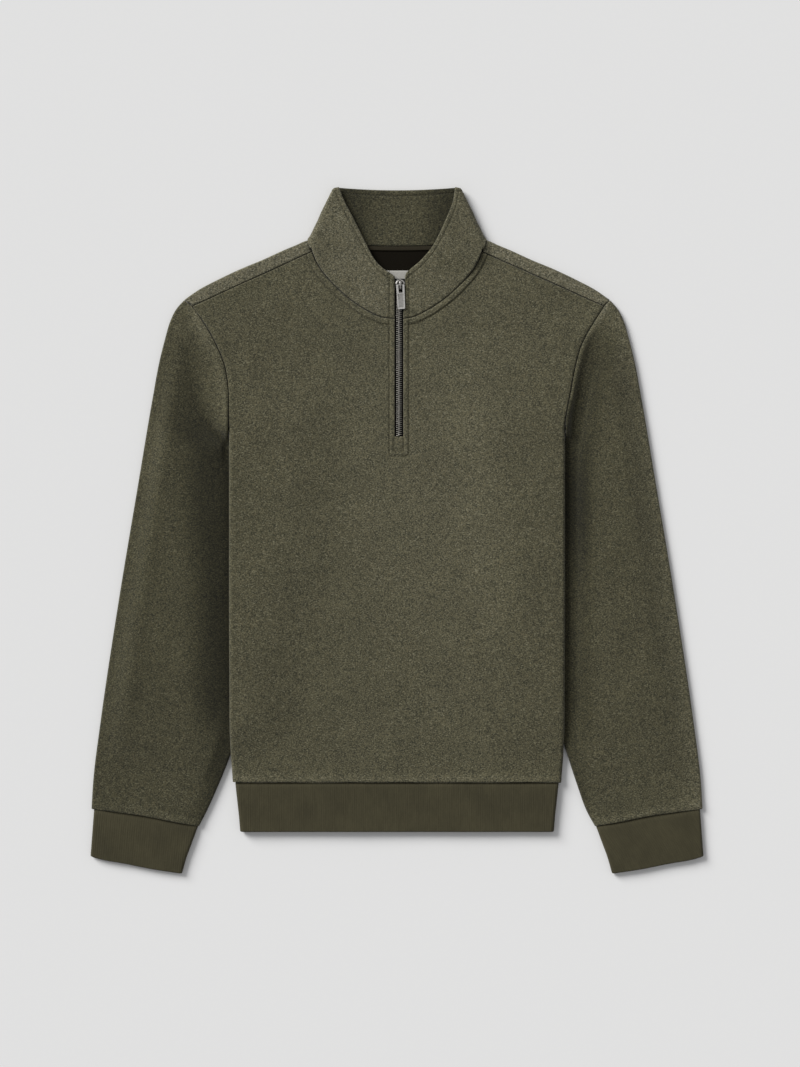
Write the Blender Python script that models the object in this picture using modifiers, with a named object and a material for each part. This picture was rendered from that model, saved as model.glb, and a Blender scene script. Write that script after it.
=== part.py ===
"""Half zip sweatshirt laid flat on a table, front up, with its sides and sleeves tucked behind.

Metres, +Z up, table top at z = 0. X runs across the garment, Y from hem to collar. The tables and sizes
below are in millimetres. "out" is the distance from the garment's centre line, so one table serves both
sides, and each surface is worked out as a grid of points on the outer face of its cloth, which Solidify
then gives its thickness.

From the table up, the layers beside the centre are: sleeve (two), the front's side turned under, the back,
and the front. In the middle only the back and the front lie on each other.
"""

import math
from typing import NamedTuple

import bmesh
import bpy
import numpy as np
from mathutils import Matrix

MM = 0.001

# Cloth
FLEECE = 2.4
RIB = 2.6
COLLAR_CLOTH = 3.9  # two plies of fleece, stitched together
GAP = 0.3  # between pieces at a seam
SEAM_GAP = 0.65  # the same where a curved seam is cut into steps of different lengths
LAYER_GAP = 0.5  # between layers that lie on each other

# Heights of the outer faces above the table
SHOULDER_TOP = 5.4  # back and front pressed together
SLEEVE_TOP = 5.4  # a sleeve pressed flat under the body
SLEEVE_CROWN = 3.0  # how much higher the sleeve's free middle stands
SLEEVE_LIFT = SLEEVE_TOP + LAYER_GAP  # what the tucked sleeve adds under the body
FLAP_LIFT = FLEECE + LAYER_GAP  # what the turned-under side adds under the back
FRONT_TOP = 3 * FLEECE + 2 * LAYER_GAP  # side turned under, back and front; the middle stands as high
FOLD_RADIUS = FRONT_TOP / 2
CUFF_TOP_HEIGHT = 6.2
COLLAR_TOP = 9.3
COLLAR_FOLD_TOP = 10.4
ARMHOLE_FADE = 105.0  # how far up the armhole the lift of the tucked sleeve fades out
FLAP_FADE = 45.0  # how far above the underarm the back comes down from the turned-under side
SHOULDER_FADE = 55.0  # how far below the forward shoulder seam the front is pressed down

# Lengths along Y
HEM_SEAM = -297.7
HEM_EDGE = -355.6
FLAP_EDGE = 125.0  # out of the side seam, on the turned-under side
UNDERARM = 110.0  # where the armhole seam goes over the folded side
SLIT_END = 110.0  # bottom of the zip's slit in the front
CENTRE_Y = -0.95  # middle of the garment's length in these tables, moved to y = 0

# Tape and label inside the back neck
NECK_TAPE = 1.0
NECK_TAPE_WIDTH = 4.9
LABEL_WIDTH = 48.0
LABEL_ENDS = (272.0, 307.2)

# Zip
ZIP_SHIFT = 2.4  # the zip lies this far towards +X of the garment's centre line
SLIT_HALF = 4.95
TAPE_BOTTOM = 4.3
TAPE = 0.8
TAPE_WIDTH = 11.8
TAPE_ENDS = (98.0, 296.0)
CHAIN_WIDTH = 7.0
CHAIN_HEIGHT = 1.8
CHAIN_ENDS = (110.6, 283.6)
SLIDER_X = 3.4
SLIDER_BOTTOM = TAPE_BOTTOM + TAPE + GAP
SLIDER_HEIGHT = 3.6
PIVOT = (3.9, 288.0, 10.4)
PULL_TURN = math.radians(2.8)  # the pull lies a little askew on its bridge
PULL_HEIGHT = 1.4
PULL_CORNERS = ((-4.9, -27.2), (4.9, 0.75))  # from the hinge axis
PULL_WINDOW_CORNERS = ((-2.1, -8.2), (2.1, -0.75))
PULL_TAPER = 0.87
SLIDER_HALF = ((4.3, -4.0), (5.5, 2.0), (5.0, 4.9), (3.2, 7.1), (0.0, 8.4))  # x and y from its middle
# The slider's bridge from the side: y, height above the slider's body
BRIDGE_OUTSIDE = (
    (-4.0, -0.6),
    (5.6, -0.6),
    (5.6, 1.8),
    (4.4, 3.3),
    (2.6, 3.9),
    (-1.6, 3.9),
    (-3.2, 3.2),
    (-4.0, 1.6),
)
BRIDGE_EYE = ((-2.6, 0.1), (3.6, 0.1), (3.6, 1.7), (2.6, 2.7), (-1.6, 2.7), (-2.6, 1.9))
BRIDGE_WIDTH = 3.0

# Folded side of the body: y, out
SIDE_FOLD = ((-298.0, 193.3), (-269.0, 195.7), (-236.0, 197.0), (-100.0, 197.6), (110.0, 197.6))

# Armhole seam, from the folded side up to the shoulder seam: y, out on the left, out on the right
ARMHOLE = (
    (126.0, 197.9, 197.5),
    (147.5, 197.9, 201.0),
    (166.5, 198.5, 204.7),
    (183.4, 200.6, 207.7),
    (200.0, 204.8, 211.5),
    (214.9, 211.2, 215.8),
    (229.6, 218.5, 222.7),
    (246.6, 229.0, 232.9),
    (263.5, 240.9, 244.0),
)
SHOULDER_POINT = (250.5, 271.5)  # out, y: where the armhole seam meets the outline

# Neck seam of the front, from beside the slit up to the outline: out, y
NECK = (
    (22.3, 251.7),
    (31.5, 256.3),
    (41.9, 262.0),
    (51.0, 268.3),
    (60.1, 275.3),
    (68.4, 282.7),
    (76.2, 290.5),
    (83.7, 298.8),
    (90.7, 308.0),
    (95.7, 317.1),
    (99.6, 327.0),
    (101.8, 332.8),
    (103.6, 341.8),
)
NECK_AT_SLIT = 248.3  # y where the neck seam reaches the slit
NECK_AT_SHOULDER_SEAM = 328.0  # y where the forward shoulder seam reaches the neck seam

# Front opening of the collar, from the fold at its side down to the slit: y, out on the left and right
COLLAR_OPENING = (
    (384.9, 60.7, 65.1),
    (373.6, 54.5, 60.8),
    (359.3, 47.3, 54.6),
    (347.0, 41.2, 48.7),
    (334.8, 35.0, 42.2),
    (324.5, 30.0, 34.2),
    (315.3, 23.8, 25.4),
    (307.2, 15.2, 15.6),
    (303.0, 8.4, 11.2),
)
COLLAR_OPENING_END = 298.4  # y where the opening reaches the slit
# Folded side of the collar, from its foot to its top edge: out, y
COLLAR_FOLD = (
    (106.6, 341.4),
    (103.3, 345.7),
    (98.5, 355.2),
    (93.8, 364.6),
    (89.7, 374.0),
    (85.0, 383.5),
    (80.2, 392.9),
    (76.2, 401.0),
    (73.6, 403.6),
)
BACK_NECK_Y = 334.5
BACK_NECK_RISE = 4.0
COLLAR_TOP_Y = 400.6

# Fold of the back over the shoulder, from neck to sleeve: out, y
SHOULDER_FOLD = (
    (107.2, 341.0),
    (118.0, 336.3),
    (132.2, 330.4),
    (158.1, 318.6),
    (186.4, 306.8),
    (211.2, 295.0),
    (233.6, 283.2),
    SHOULDER_POINT,
)
SHOULDER_RADIUS = SHOULDER_TOP / 2

# Sleeve's outer edge, from armhole to cuff seam: out, y
SLEEVE_OUTER = (
    SHOULDER_POINT,
    (260.8, 259.6),
    (266.7, 247.8),
    (273.8, 224.2),
    (279.7, 200.6),
    (288.5, 153.4),
    (304.4, 59.0),
    (328.0, -82.6),
    (349.3, -224.2),
    (358.1, -295.0),
    (360.2, -329.0),
)
# Sleeve's inner edge, hidden under the body down to y = -263: y, out on the left and right
SLEEVE_INNER = (
    (92.0, 127.0, 127.0),
    (-20.0, 143.0, 143.0),
    (-120.0, 160.0, 160.0),
    (-200.0, 178.0, 180.0),
    (-266.0, 197.0, 201.0),
    (-299.5, 207.0, 212.0),
    (-332.8, 223.0, 224.3),
    (-349.4, 233.5, 233.5),
)
# Rows of points along the sleeve, closer together towards the armhole seam: distance from that seam
SLEEVE_ROWS = (480, 462, 435, 400, 360, 315, 270, 225, 180, 140, 105, 75, 50, 32, 21, 12, 4, 0)
# Columns of points beside the line where the sleeve goes under the body: distance out of that line
COLUMNS_BESIDE_TUCK = (40, 24, 14, 7, 0)
TUCK_Y = 102.0  # y where the armhole seam turns inwards under the body
CROWN_FADE = 40.0  # how far in from its edges the sleeve reaches its full height
SLEEVE_END = ((360.2, -329.0), (321.4, -333.7), (293.9, -337.8), (268.7, -343.0), (233.5, -349.4))

# Cuff: out, y
CUFF_TOP = ((357.2, -330.6), (321.4, -334.5), (293.9, -338.6), (268.7, -343.8), (235.0, -350.3))
CUFF_BOTTOM = ((361.3, -384.6), (349.9, -388.0), (321.4, -393.2), (289.8, -399.5), (253.6, -405.1))
CUFF_INNER = ((235.0, -350.3), (242.4, -370.4), (247.8, -385.0), (253.6, -405.1))
CUFF_OUTER = ((357.2, -330.6), (361.3, -384.6))

# Hem band: y, out
BAND_SIDE = ((HEM_EDGE, 184.8), (-338.0, 186.2), (-298.0, 190.6))


class Side(NamedTuple):
    """One half of the garment: the sign of its x, its column in the tables that tell the sides apart, how
    far out the zip's line lies, and how much the slit widens beside the slider."""

    name: str
    sign: int
    column: int
    zip_out: float
    slit_flare: float


LEFT = Side("left", -1, 1, -ZIP_SHIFT, 0.0)
RIGHT = Side("right", 1, 2, ZIP_SHIFT, 2.0)


def eased(t):
    """0 up to t = 0, 1 from t = 1, and a smooth S between."""
    t = np.clip(t, 0.0, 1.0)
    return t * t * (3 - 2 * t)


def even(count):
    return np.linspace(0.0, 1.0, count)


def resampled(curve, fractions):
    """The points that lie these fractions of its length along a polyline."""
    curve = np.asarray(curve, float)
    length = np.concatenate([[0.0], np.cumsum(np.linalg.norm(np.diff(curve, axis=0), axis=1))])
    steps = fractions * length[-1]
    return np.stack([np.interp(steps, length, curve[:, k]) for k in range(curve.shape[1])], axis=1)


def spline(points, fractions):
    """A cubic curve through the points, by chord length, at these fractions of its length."""
    points = np.asarray(points, float)
    knots = np.concatenate([[0.0], np.cumsum(np.linalg.norm(np.diff(points, axis=0), axis=1))])
    slopes = np.gradient(points, knots, axis=0)
    fine = np.linspace(0.0, knots[-1], 600)
    span = np.clip(np.searchsorted(knots, fine, side="right") - 1, 0, len(points) - 2)
    width = np.diff(knots)[span][:, None]
    t = (fine - knots[span])[:, None] / width
    start, end = points[span], points[span + 1]
    out_of_start, into_end = slopes[span] * width, slopes[span + 1] * width
    curve = (
        (2 * t**3 - 3 * t**2 + 1) * start
        + (t**3 - 2 * t**2 + t) * out_of_start
        + (3 * t**2 - 2 * t**3) * end
        + (t**3 - t**2) * into_end
    )
    return resampled(curve, fractions)


def offset(curve, distance):
    """A polyline moved sideways, to the left of its direction."""
    along = np.gradient(curve, axis=0)
    along /= np.linalg.norm(along, axis=1)[:, None]
    return curve + distance * np.stack([-along[:, 1], along[:, 0]], axis=1)


def patch(lower, upper, start, end, rows=None):
    """Coons patch: rows run from the lower to the upper border, columns from the start to the end border.
    rows gives the fractions at which the start and end borders were cut, if those aren't even."""
    v = (even(len(start)) if rows is None else rows)[:, None, None]
    u = even(len(lower))[None, :, None]
    across = (1 - v) * lower[None] + v * upper[None]
    up = (1 - u) * start[:, None] + u * end[:, None]
    corners = (1 - v) * ((1 - u) * lower[0] + u * lower[-1]) + v * ((1 - u) * upper[0] + u * upper[-1])
    return across + up - corners


def lifted(plan, height):
    """(out, y) points with their heights as (out, y, z) points."""
    return np.concatenate([plan, np.broadcast_to(height, plan.shape[:-1])[..., None]], axis=-1)


def on_side(grid, side):
    """(out, y, z) points put on their side of the garment. The right side's columns are turned round, so
    that a grid that faces out on the left does so on the right as well."""
    placed = grid * np.array([side.sign, 1, 1])
    return placed if side.sign < 0 else placed[:, ::-1]


def side_fold(y):
    table = np.array(SIDE_FOLD)
    return np.interp(y, table[:, 0], table[:, 1])


def hidden_edge(y):
    """How far out the tucked sleeve's inner edge lies."""
    table = np.array(SLEEVE_INNER)[::-1]
    return np.interp(y, table[:, 0], table[:, 1])


def towards_shoulder(y):
    """1 where the sleeve is tucked under the body, falling to 0 up the armhole."""
    return 1 - eased((y - UNDERARM) / ARMHOLE_FADE)


def turned_under_base(out, y):
    """Height of what lies under the body: the tucked sleeve at the side, the table in the middle."""
    return SLEEVE_LIFT * towards_shoulder(y) * eased((out - hidden_edge(y) + 60) / 59)


def back_base(out, y):
    """Height of the back's outer face, which also climbs over the front's turned-under side."""
    over_flap = 1 - eased((y - UNDERARM) / FLAP_FADE)
    return turned_under_base(out, y) + FLAP_LIFT * over_flap * eased((out - 60) / 64)


def front_top(out, y):
    """Height of the front's outer face."""
    from_shoulder = 324.7 - 0.453 * (out - 107.6) - y
    loft = (FRONT_TOP - SHOULDER_TOP) * eased(from_shoulder / SHOULDER_FADE)
    over_sleeve = SLEEVE_LIFT * towards_shoulder(y) * eased((out - hidden_edge(y) + 75) / 74)
    return SHOULDER_TOP + loft + over_sleeve


def slit_out(side, y):
    """The slit's edge. On the right it gives way to the slider, near the top."""
    return side.zip_out + SLIT_HALF + side.slit_flare * eased((y - 256) / 26)


def on_this(side, table):
    """A table of y and its out on either side, as this side's (out, y) points."""
    return np.array([(row[side.column], row[0]) for row in table])


def armhole(side):
    """The armhole seam from the folded side to the shoulder seam."""
    return on_this(side, ARMHOLE)


def neck(side, upto, fractions=even(120)):
    """The front's neck seam from the slit to the height upto."""
    at_slit = (slit_out(side, NECK_AT_SLIT), NECK_AT_SLIT)
    curve = spline([at_slit, *NECK], even(400))
    return resampled(curve[curve[:, 1] <= upto], fractions)


def cloth(name, grids, thickness, material):
    """One piece of cloth. The grids are its outer face, and where they share points they are joined."""
    form = bmesh.new()
    for grid in grids:
        rows = [[form.verts.new(point) for point in row] for row in (grid - [0, CENTRE_Y, 0]) * MM]
        for low, high in zip(rows, rows[1:]):
            for k in range(len(low) - 1):
                form.faces.new((low[k], low[k + 1], high[k + 1], high[k]))
    bmesh.ops.remove_doubles(form, verts=form.verts, dist=1e-6)
    mesh = bpy.data.meshes.new(name)
    form.to_mesh(mesh)
    form.free()
    mesh.shade_smooth()
    piece = added(name, mesh, material)
    wall = piece.modifiers.new("cloth thickness", "SOLIDIFY")
    wall.thickness = thickness * MM
    wall.offset = -1
    return piece


def added(name, data, material):
    piece = bpy.data.objects.new(name, data)
    data.materials.append(material)
    bpy.data.collections["half_zip_sweatshirt"].objects.link(piece)
    return piece


def arc(turns):
    """Cosines and sines of even steps from the top of a fold, over its edge, to its underside."""
    angles = np.linspace(math.pi / 2, -math.pi / 2, turns + 1)
    return np.cos(angles), np.sin(angles)


def body_rows(side):
    """Straight rows across half of the body below the underarm, from the start of the side fold to the
    slit, with a point at the turned-under side's edge. The front and the back both use them, so that the
    space between them stays even."""
    height = np.linspace(HEM_SEAM + GAP, SLIT_END, 11)
    start = side_fold(height)[:, None] - FOLD_RADIUS
    outer = start + (FLAP_EDGE - start) * even(5)
    inner = FLAP_EDGE + (slit_out(side, height)[:, None] - FLAP_EDGE) * even(7)
    out = np.concatenate([outer, inner[:, 1:]], axis=1)
    return np.stack([out, np.repeat(height[:, None], out.shape[1], axis=1)], axis=-1)


def front_half_below(side):
    """Half of the front below the slit: turned-under side, fold, and top, from the side seam inwards."""
    plan = body_rows(side)
    top = lifted(plan, front_top(plan[..., 0], plan[..., 1]))
    under = plan[:, 4::-1]
    under = lifted(under, turned_under_base(under[..., 0], under[..., 1]))
    low, high = under[:, -1:, 2], top[:, :1, 2]
    cosines, sines = arc(6)
    fold = np.stack(
        [
            plan[:, :1, 0] + FOLD_RADIUS * cosines[::-1],
            np.repeat(plan[:, :1, 1], len(cosines), axis=1),
            (low + high) / 2 + (high - low) / 2 * sines[::-1],
        ],
        axis=-1,
    )
    return np.concatenate([under[:, :-1], fold, top[:, 1:]], axis=1)


def front_half_above(side, lower_row):
    """Half of the front from the slit's end up to the shoulder and neck seams."""
    neck_edge = neck(side, NECK_AT_SHOULDER_SEAM, even(8))
    slit_y = np.linspace(SLIT_END, neck_edge[0, 1], 8)
    slit = np.stack([slit_out(side, slit_y), slit_y], axis=1)
    seam = spline(armhole(side), even(40))
    seam = resampled(np.concatenate([lower_row[:1, :2], seam]), even(15))
    shoulder = resampled([seam[-1], neck_edge[-1]], even(len(lower_row)))
    plan = patch(lower_row[:, :2], shoulder, seam, np.concatenate([slit[:-1], neck_edge]))
    return lifted(plan, front_top(plan[..., 0], plan[..., 1]))


def body_front(material):
    """The front with its sides turned under, slit for the zip. Rows run up, columns from -X to +X."""
    below = [front_half_below(side) for side in (LEFT, RIGHT)]
    above = [front_half_above(side, half[-1, -11:]) for side, half in zip((LEFT, RIGHT), below)]
    left, right = (on_side(half, side) for side, half in zip((LEFT, RIGHT), below))
    grids = [np.concatenate([left, right], axis=1)]
    grids += [on_side(half, side) for side, half in zip((LEFT, RIGHT), above)]
    return cloth("body_front", grids, FLEECE, material)


def back_half(side):
    """Half of the back's outer face, from the hem over the shoulder to the forward shoulder seam, and the
    part of it inside the neck."""
    below = body_rows(side)
    below[:, 0, 0] -= GAP
    centre = below[:, -1:] * [0, 1]
    below = np.concatenate([below, centre], axis=1)
    shoulder = spline(SHOULDER_FOLD, even(8))[::-1] - [0, SHOULDER_RADIUS]
    lean = np.subtract(SHOULDER_POINT, armhole(side)[-1])
    shoulder[0, 0] -= SHOULDER_RADIUS * lean[0] / lean[1]
    neck_out = shoulder[-1, 0] * (1 - even(5))
    neck_y = BACK_NECK_Y - GAP + (shoulder[-1, 1] - BACK_NECK_Y + GAP) * (neck_out / neck_out[0]) ** 2
    top = np.concatenate([shoulder, np.stack([neck_out, neck_y], axis=1)[1:]])
    edge = np.concatenate([below[-1:, 0], spline([*armhole(side), shoulder[0]], even(60))])
    middle = resampled([below[-1, -1], top[-1]], even(12))
    above = patch(below[-1], top, resampled(edge, even(12)), middle)
    plan = np.concatenate([below, above[1:]])
    main = lifted(plan, back_base(plan[..., 0], plan[..., 1]))
    cosines, sines = arc(4)
    turn = lifted(np.repeat(shoulder[None], 5, axis=0), SHOULDER_RADIUS * (1 + sines[::-1, None]))
    turn[..., 1] += SHOULDER_RADIUS * cosines[::-1, None]
    turn[:, 0, 0] += SHOULDER_RADIUS * cosines[::-1] * lean[0] / lean[1]
    strip = shoulder_strip(side, shoulder)
    over = np.concatenate([main[-1:, :8], turn[1:], strip[1:]])
    return main, over


def body_back(material):
    """The back, its neck edge, and its strips over the shoulders to the forward shoulder seams."""
    grids = []
    for side in (LEFT, RIGHT):
        grids += [on_side(grid[:, ::-1], side) for grid in back_half(side)]
    return cloth("body_back", grids, FLEECE, material)


def shoulder_strip(side, shoulder):
    """The back's strip on top of the shoulder, from its fold to the forward seam."""
    seam = resampled([armhole(side)[-1], neck(side, NECK_AT_SHOULDER_SEAM)[-1]], even(len(shoulder)))
    seam = offset(seam, -SEAM_GAP)
    steps = even(4)[:, None, None]
    plan = shoulder[None] * (1 - steps) + seam[None] * steps
    neck_edge = neck(side, 341.5)
    plan[1:, -1, 0] = SEAM_GAP + np.interp(plan[1:, -1, 1], neck_edge[:, 1], neck_edge[:, 0])
    return lifted(plan, SHOULDER_TOP)


def tube(plan, top, bottom, round_top):
    """Closes a flattened tube over its plan. plan's columns run from the outer to the inner edge, and
    round_top gives, for each column, how far up the rounded edge it lies (0 at the edge, 1 inside)."""
    middle = (top + bottom) / 2
    upper = lifted(plan, middle + (top - middle) * round_top)
    lower = lifted(plan, middle - (middle - bottom) * round_top)
    return np.concatenate([upper, lower[:, -2::-1]], axis=1)


def tube_columns(widths, radius, between):
    """Fractions across a flattened tube: close together round its two edges, and between those at the
    given fractions, with the height of the rounded edge at each."""
    angles = np.radians([0, 30, 60, 90])
    ends = radius * (1 - np.cos(angles)) / widths[:, None]
    fractions = np.concatenate([ends, between, 1 - ends[:, ::-1]], axis=1)
    heights = np.concatenate([np.sin(angles), np.ones(between.shape[1]), np.sin(angles[::-1])])
    return fractions, heights


def row_widths(plan):
    return np.linalg.norm(np.diff(plan, axis=1), axis=2).sum(axis=1)


def sleeve_opening(side):
    """The sleeve's armhole edge: from the shoulder point down beside the body's seam, then down past the
    body's folded side, and inwards under the body."""
    seam = spline([SHOULDER_POINT, *armhole(side)[::-1]], even(60))
    dive = ((198.4, 118.0), (198.6, 110.0), (198.6, TUCK_Y), (195.5, 96.0), (185.0, 93.5), (158.0, 92.5))
    return np.concatenate([offset(seam, SEAM_GAP), dive, on_this(side, SLEEVE_INNER)[:1]])


def sleeve(side, material):
    """A flattened tube from the armhole to the cuff seam. Its edge at the armhole stands level with the
    body's seam, and its free middle stands a little proud."""
    from_seam = np.array(SLEEVE_ROWS)
    rows = 1 - from_seam / from_seam[0]
    opening = resampled(sleeve_opening(side), even(161))
    outer = spline([opening[0], *SLEEVE_OUTER[1:]], 1 - rows)
    inner = spline(on_this(side, SLEEVE_INNER), 1 - rows)
    plan = patch(spline(SLEEVE_END, even(161)), opening, outer, inner, rows)
    widths = row_widths(plan)
    tucked = (plan[..., 0] < side_fold(plan[..., 1]) + 0.9) & (plan[..., 1] < TUCK_Y + 1)
    tuck = np.where(tucked.any(axis=1), tucked.argmax(axis=1) / 160, 1.0)
    tuck = np.minimum(tuck, 1 - 3 * SLEEVE_TOP / widths)
    close = tuck[:, None] - np.array(COLUMNS_BESIDE_TUCK) / widths[:, None]
    first = SLEEVE_TOP / widths[:, None]
    free = first + (close[:, :1] - first) * even(7)[:-1]
    fractions, round_top = tube_columns(widths, SLEEVE_TOP / 2, np.concatenate([free, close], axis=1))
    plan = np.array([resampled(row, cuts) for row, cuts in zip(plan, fractions)])
    out, y = plan[..., 0], plan[..., 1]
    to_edge = np.minimum(fractions, 1 - fractions) * widths[:, None]
    from_body = np.where(y < UNDERARM, out - side_fold(y) - 5, CROWN_FADE)
    crown = eased(to_edge / CROWN_FADE) * eased(from_body / CROWN_FADE) * eased((from_seam[:, None] - 8) / 60)
    crown = crown * (1 - 0.5 * eased((-y - 250) / 80))
    beside_seam = (1 - eased((from_seam[:, None] - SLEEVE_ROWS[-2]) / 26)) * (out > side_fold(y) + GAP)
    ridge = beside_seam * towards_shoulder(y) * eased((y - TUCK_Y - 1) / 15)
    bottom = (SLEEVE_LIFT + FLAP_LIFT - LAYER_GAP) * ridge
    ring = tube(plan, bottom + SLEEVE_TOP + SLEEVE_CROWN * crown, bottom, round_top)
    return cloth(f"sleeve_{side.name}", [on_side(ring, side)], FLEECE, material)


def cuff(side, material):
    """A flattened tube of doubled rib."""
    outer = resampled(CUFF_OUTER, even(5))[::-1]
    inner = spline(CUFF_INNER, even(5))[::-1]
    plan = patch(spline(CUFF_BOTTOM, even(41)), spline(CUFF_TOP, even(41)), outer, inner)
    widths = row_widths(plan)
    between = np.repeat(even(9)[None, 1:-1], 5, axis=0)
    fractions, round_top = tube_columns(widths, CUFF_TOP_HEIGHT / 2, between)
    plan = np.array([resampled(row, cuts) for row, cuts in zip(plan, fractions)])
    ring = tube(plan, np.full(plan.shape[:2], CUFF_TOP_HEIGHT), np.zeros(plan.shape[:2]), round_top)
    return cloth(f"cuff_{side.name}", [on_side(ring, side)], RIB, material)


def hem_band(material):
    """A flattened tube of doubled rib, a little narrower towards its edge."""
    table = np.array(BAND_SIDE)
    height = np.linspace(HEM_EDGE, HEM_SEAM, 5)
    half = np.interp(height, table[:, 0], table[:, 1])
    between = np.repeat(even(15)[None, 1:-1], 5, axis=0)
    fractions, round_top = tube_columns(2 * half, FOLD_RADIUS, between)
    x = half[:, None] * (2 * fractions - 1)
    plan = np.stack([x, np.repeat(height[:, None], x.shape[1], axis=1)], axis=-1)
    ring = tube(plan, np.full(x.shape, FRONT_TOP), np.zeros(x.shape), round_top)
    return cloth("hem_band", [ring], RIB, material)


def collar_half(side, rows):
    """Half of the collar's outer face, from its edge at the zip over the side fold to the centre back."""
    radius = COLLAR_FOLD_TOP / 2
    foot = offset(neck(side, NECK_AT_SHOULDER_SEAM + 3, even(9)), SEAM_GAP)[::-1]
    fold = spline(COLLAR_FOLD, even(rows))
    inset = fold - [radius, 0]
    inset += (foot[0] - inset[0]) * (1 - even(rows)[:, None]) ** 2
    slit_y = np.linspace(NECK_AT_SLIT + SEAM_GAP, COLLAR_OPENING_END, rows)
    slit = np.stack([slit_out(side, slit_y), slit_y], axis=1)
    foot[-1] = slit[0]
    opening = spline([inset[-1], *on_this(side, COLLAR_OPENING), slit[-1]], even(9))
    leaf = patch(foot, opening, inset, slit)
    top = COLLAR_FOLD_TOP + (COLLAR_TOP - COLLAR_FOLD_TOP) * eased(2 * even(9))
    leaf = lifted(leaf, np.repeat(top[None], rows, axis=0))
    back_out = (fold[:, :1] - radius) * (1 - even(6))
    up = even(rows)[:, None]
    lower = BACK_NECK_Y + BACK_NECK_RISE * (back_out / 100) ** 2
    upper = COLLAR_TOP_Y + (fold[-1, 1] - COLLAR_TOP_Y) * (back_out / back_out[:, :1]) ** 2
    back = lifted(np.stack([back_out, lower + (upper - lower) * up], axis=-1), 0.0)
    cosines, sines = arc(8)
    lean = (1 + sines) / 2
    start, end = back[:, :1, :2], inset[:, None]
    turn = start + (end - start) * lean[:, None]
    turn[..., 0] += radius * cosines
    turn[..., 1] += (fold[:, 1:2] - (start[..., 1] + end[..., 1]) / 2) * cosines**2
    turn = lifted(turn, np.repeat((radius * (1 + sines))[None], rows, axis=0))
    return np.concatenate([leaf[:, ::-1], turn[:, 1:], back[:, 1:]], axis=1)


def collar(material):
    """A band of doubled fleece that stands up from the neck seam, folded flat at both sides."""
    right = on_side(collar_half(RIGHT, 9), RIGHT)[:, ::-1]
    left = on_side(collar_half(LEFT, 9), LEFT)[:, ::-1]
    return cloth("collar", [np.concatenate([right, left[:, 1:]], axis=1)], COLLAR_CLOTH, material)


def strip_along(name, out, lower, upper, bottom, thickness, material):
    """A flat strip between two border curves, with its underside at the height bottom."""
    plan = np.stack([np.stack([out, lower], axis=-1), np.stack([out, upper], axis=-1)])
    return cloth(name, [lifted(plan, bottom + thickness)], thickness, material)


def neck_tape(material):
    """Tape over the back neck seam, inside."""
    out = np.linspace(-90, 90, 17)
    upper = BACK_NECK_Y - GAP + BACK_NECK_RISE * (out / 100) ** 2
    return strip_along("neck_tape", out, upper - NECK_TAPE_WIDTH, upper, FLEECE + GAP, NECK_TAPE, material)


def neck_label(material):
    """A blank label sewn on the inside of the back, below the tape."""
    out = LABEL_WIDTH * np.array([-0.5, 0.5])
    lower, upper = (np.full(2, y) for y in LABEL_ENDS)
    return strip_along("neck_label", out, lower, upper, FLEECE + GAP, NECK_TAPE, material)


def block(name, low, high, material):
    """A box between two corners in millimetres."""
    low = np.array(low) - [0, CENTRE_Y, 0]
    high = np.array(high) - [0, CENTRE_Y, 0]
    form = bmesh.new()
    bmesh.ops.create_cube(form, size=1.0)
    bmesh.ops.scale(form, vec=(high - low) * MM, verts=form.verts)
    bmesh.ops.translate(form, vec=(low + high) / 2 * MM, verts=form.verts)
    mesh = bpy.data.meshes.new(name)
    form.to_mesh(mesh)
    form.free()
    return added(name, mesh, material)


def zip_tapes(material):
    inner = GAP / 2
    for side, low, high in (("left", -TAPE_WIDTH, -inner), ("right", inner, TAPE_WIDTH)):
        block(
            f"zip_tape_{side}",
            (ZIP_SHIFT + low, TAPE_ENDS[0], TAPE_BOTTOM),
            (ZIP_SHIFT + high, TAPE_ENDS[1], TAPE_BOTTOM + TAPE),
            material,
        )


def zip_chain(material):
    """The closed row of teeth, as one strip."""
    bottom = TAPE_BOTTOM + TAPE + GAP
    block(
        "zip_chain",
        (ZIP_SHIFT - CHAIN_WIDTH / 2, CHAIN_ENDS[0], bottom),
        (ZIP_SHIFT + CHAIN_WIDTH / 2, CHAIN_ENDS[1], bottom + CHAIN_HEIGHT),
        material,
    )


def flat_outline(name, outlines, thickness):
    """A mesh of a flat outline with any further outlines as holes, as thick above as below z = 0."""
    curve = bpy.data.curves.new(name, "CURVE")
    curve.dimensions = "2D"
    curve.fill_mode = "BOTH"
    curve.extrude = thickness * MM / 2
    for outline in outlines:
        line = curve.splines.new("POLY")
        line.points.add(len(outline) - 1)
        for point, (x, y) in zip(line.points, outline):
            point.co = (x * MM, y * MM, 0, 1)
        line.use_cyclic_u = True
    holder = bpy.data.objects.new(name, curve)
    bpy.context.scene.collection.objects.link(holder)
    graph = bpy.context.evaluated_depsgraph_get()
    mesh = bpy.data.meshes.new_from_object(holder.evaluated_get(graph))
    bpy.data.objects.remove(holder)
    form = bmesh.new()
    form.from_mesh(mesh)
    bmesh.ops.remove_doubles(form, verts=form.verts, dist=1e-6)
    bmesh.ops.recalc_face_normals(form, faces=form.faces)
    form.to_mesh(mesh)
    form.free()
    return mesh


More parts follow.
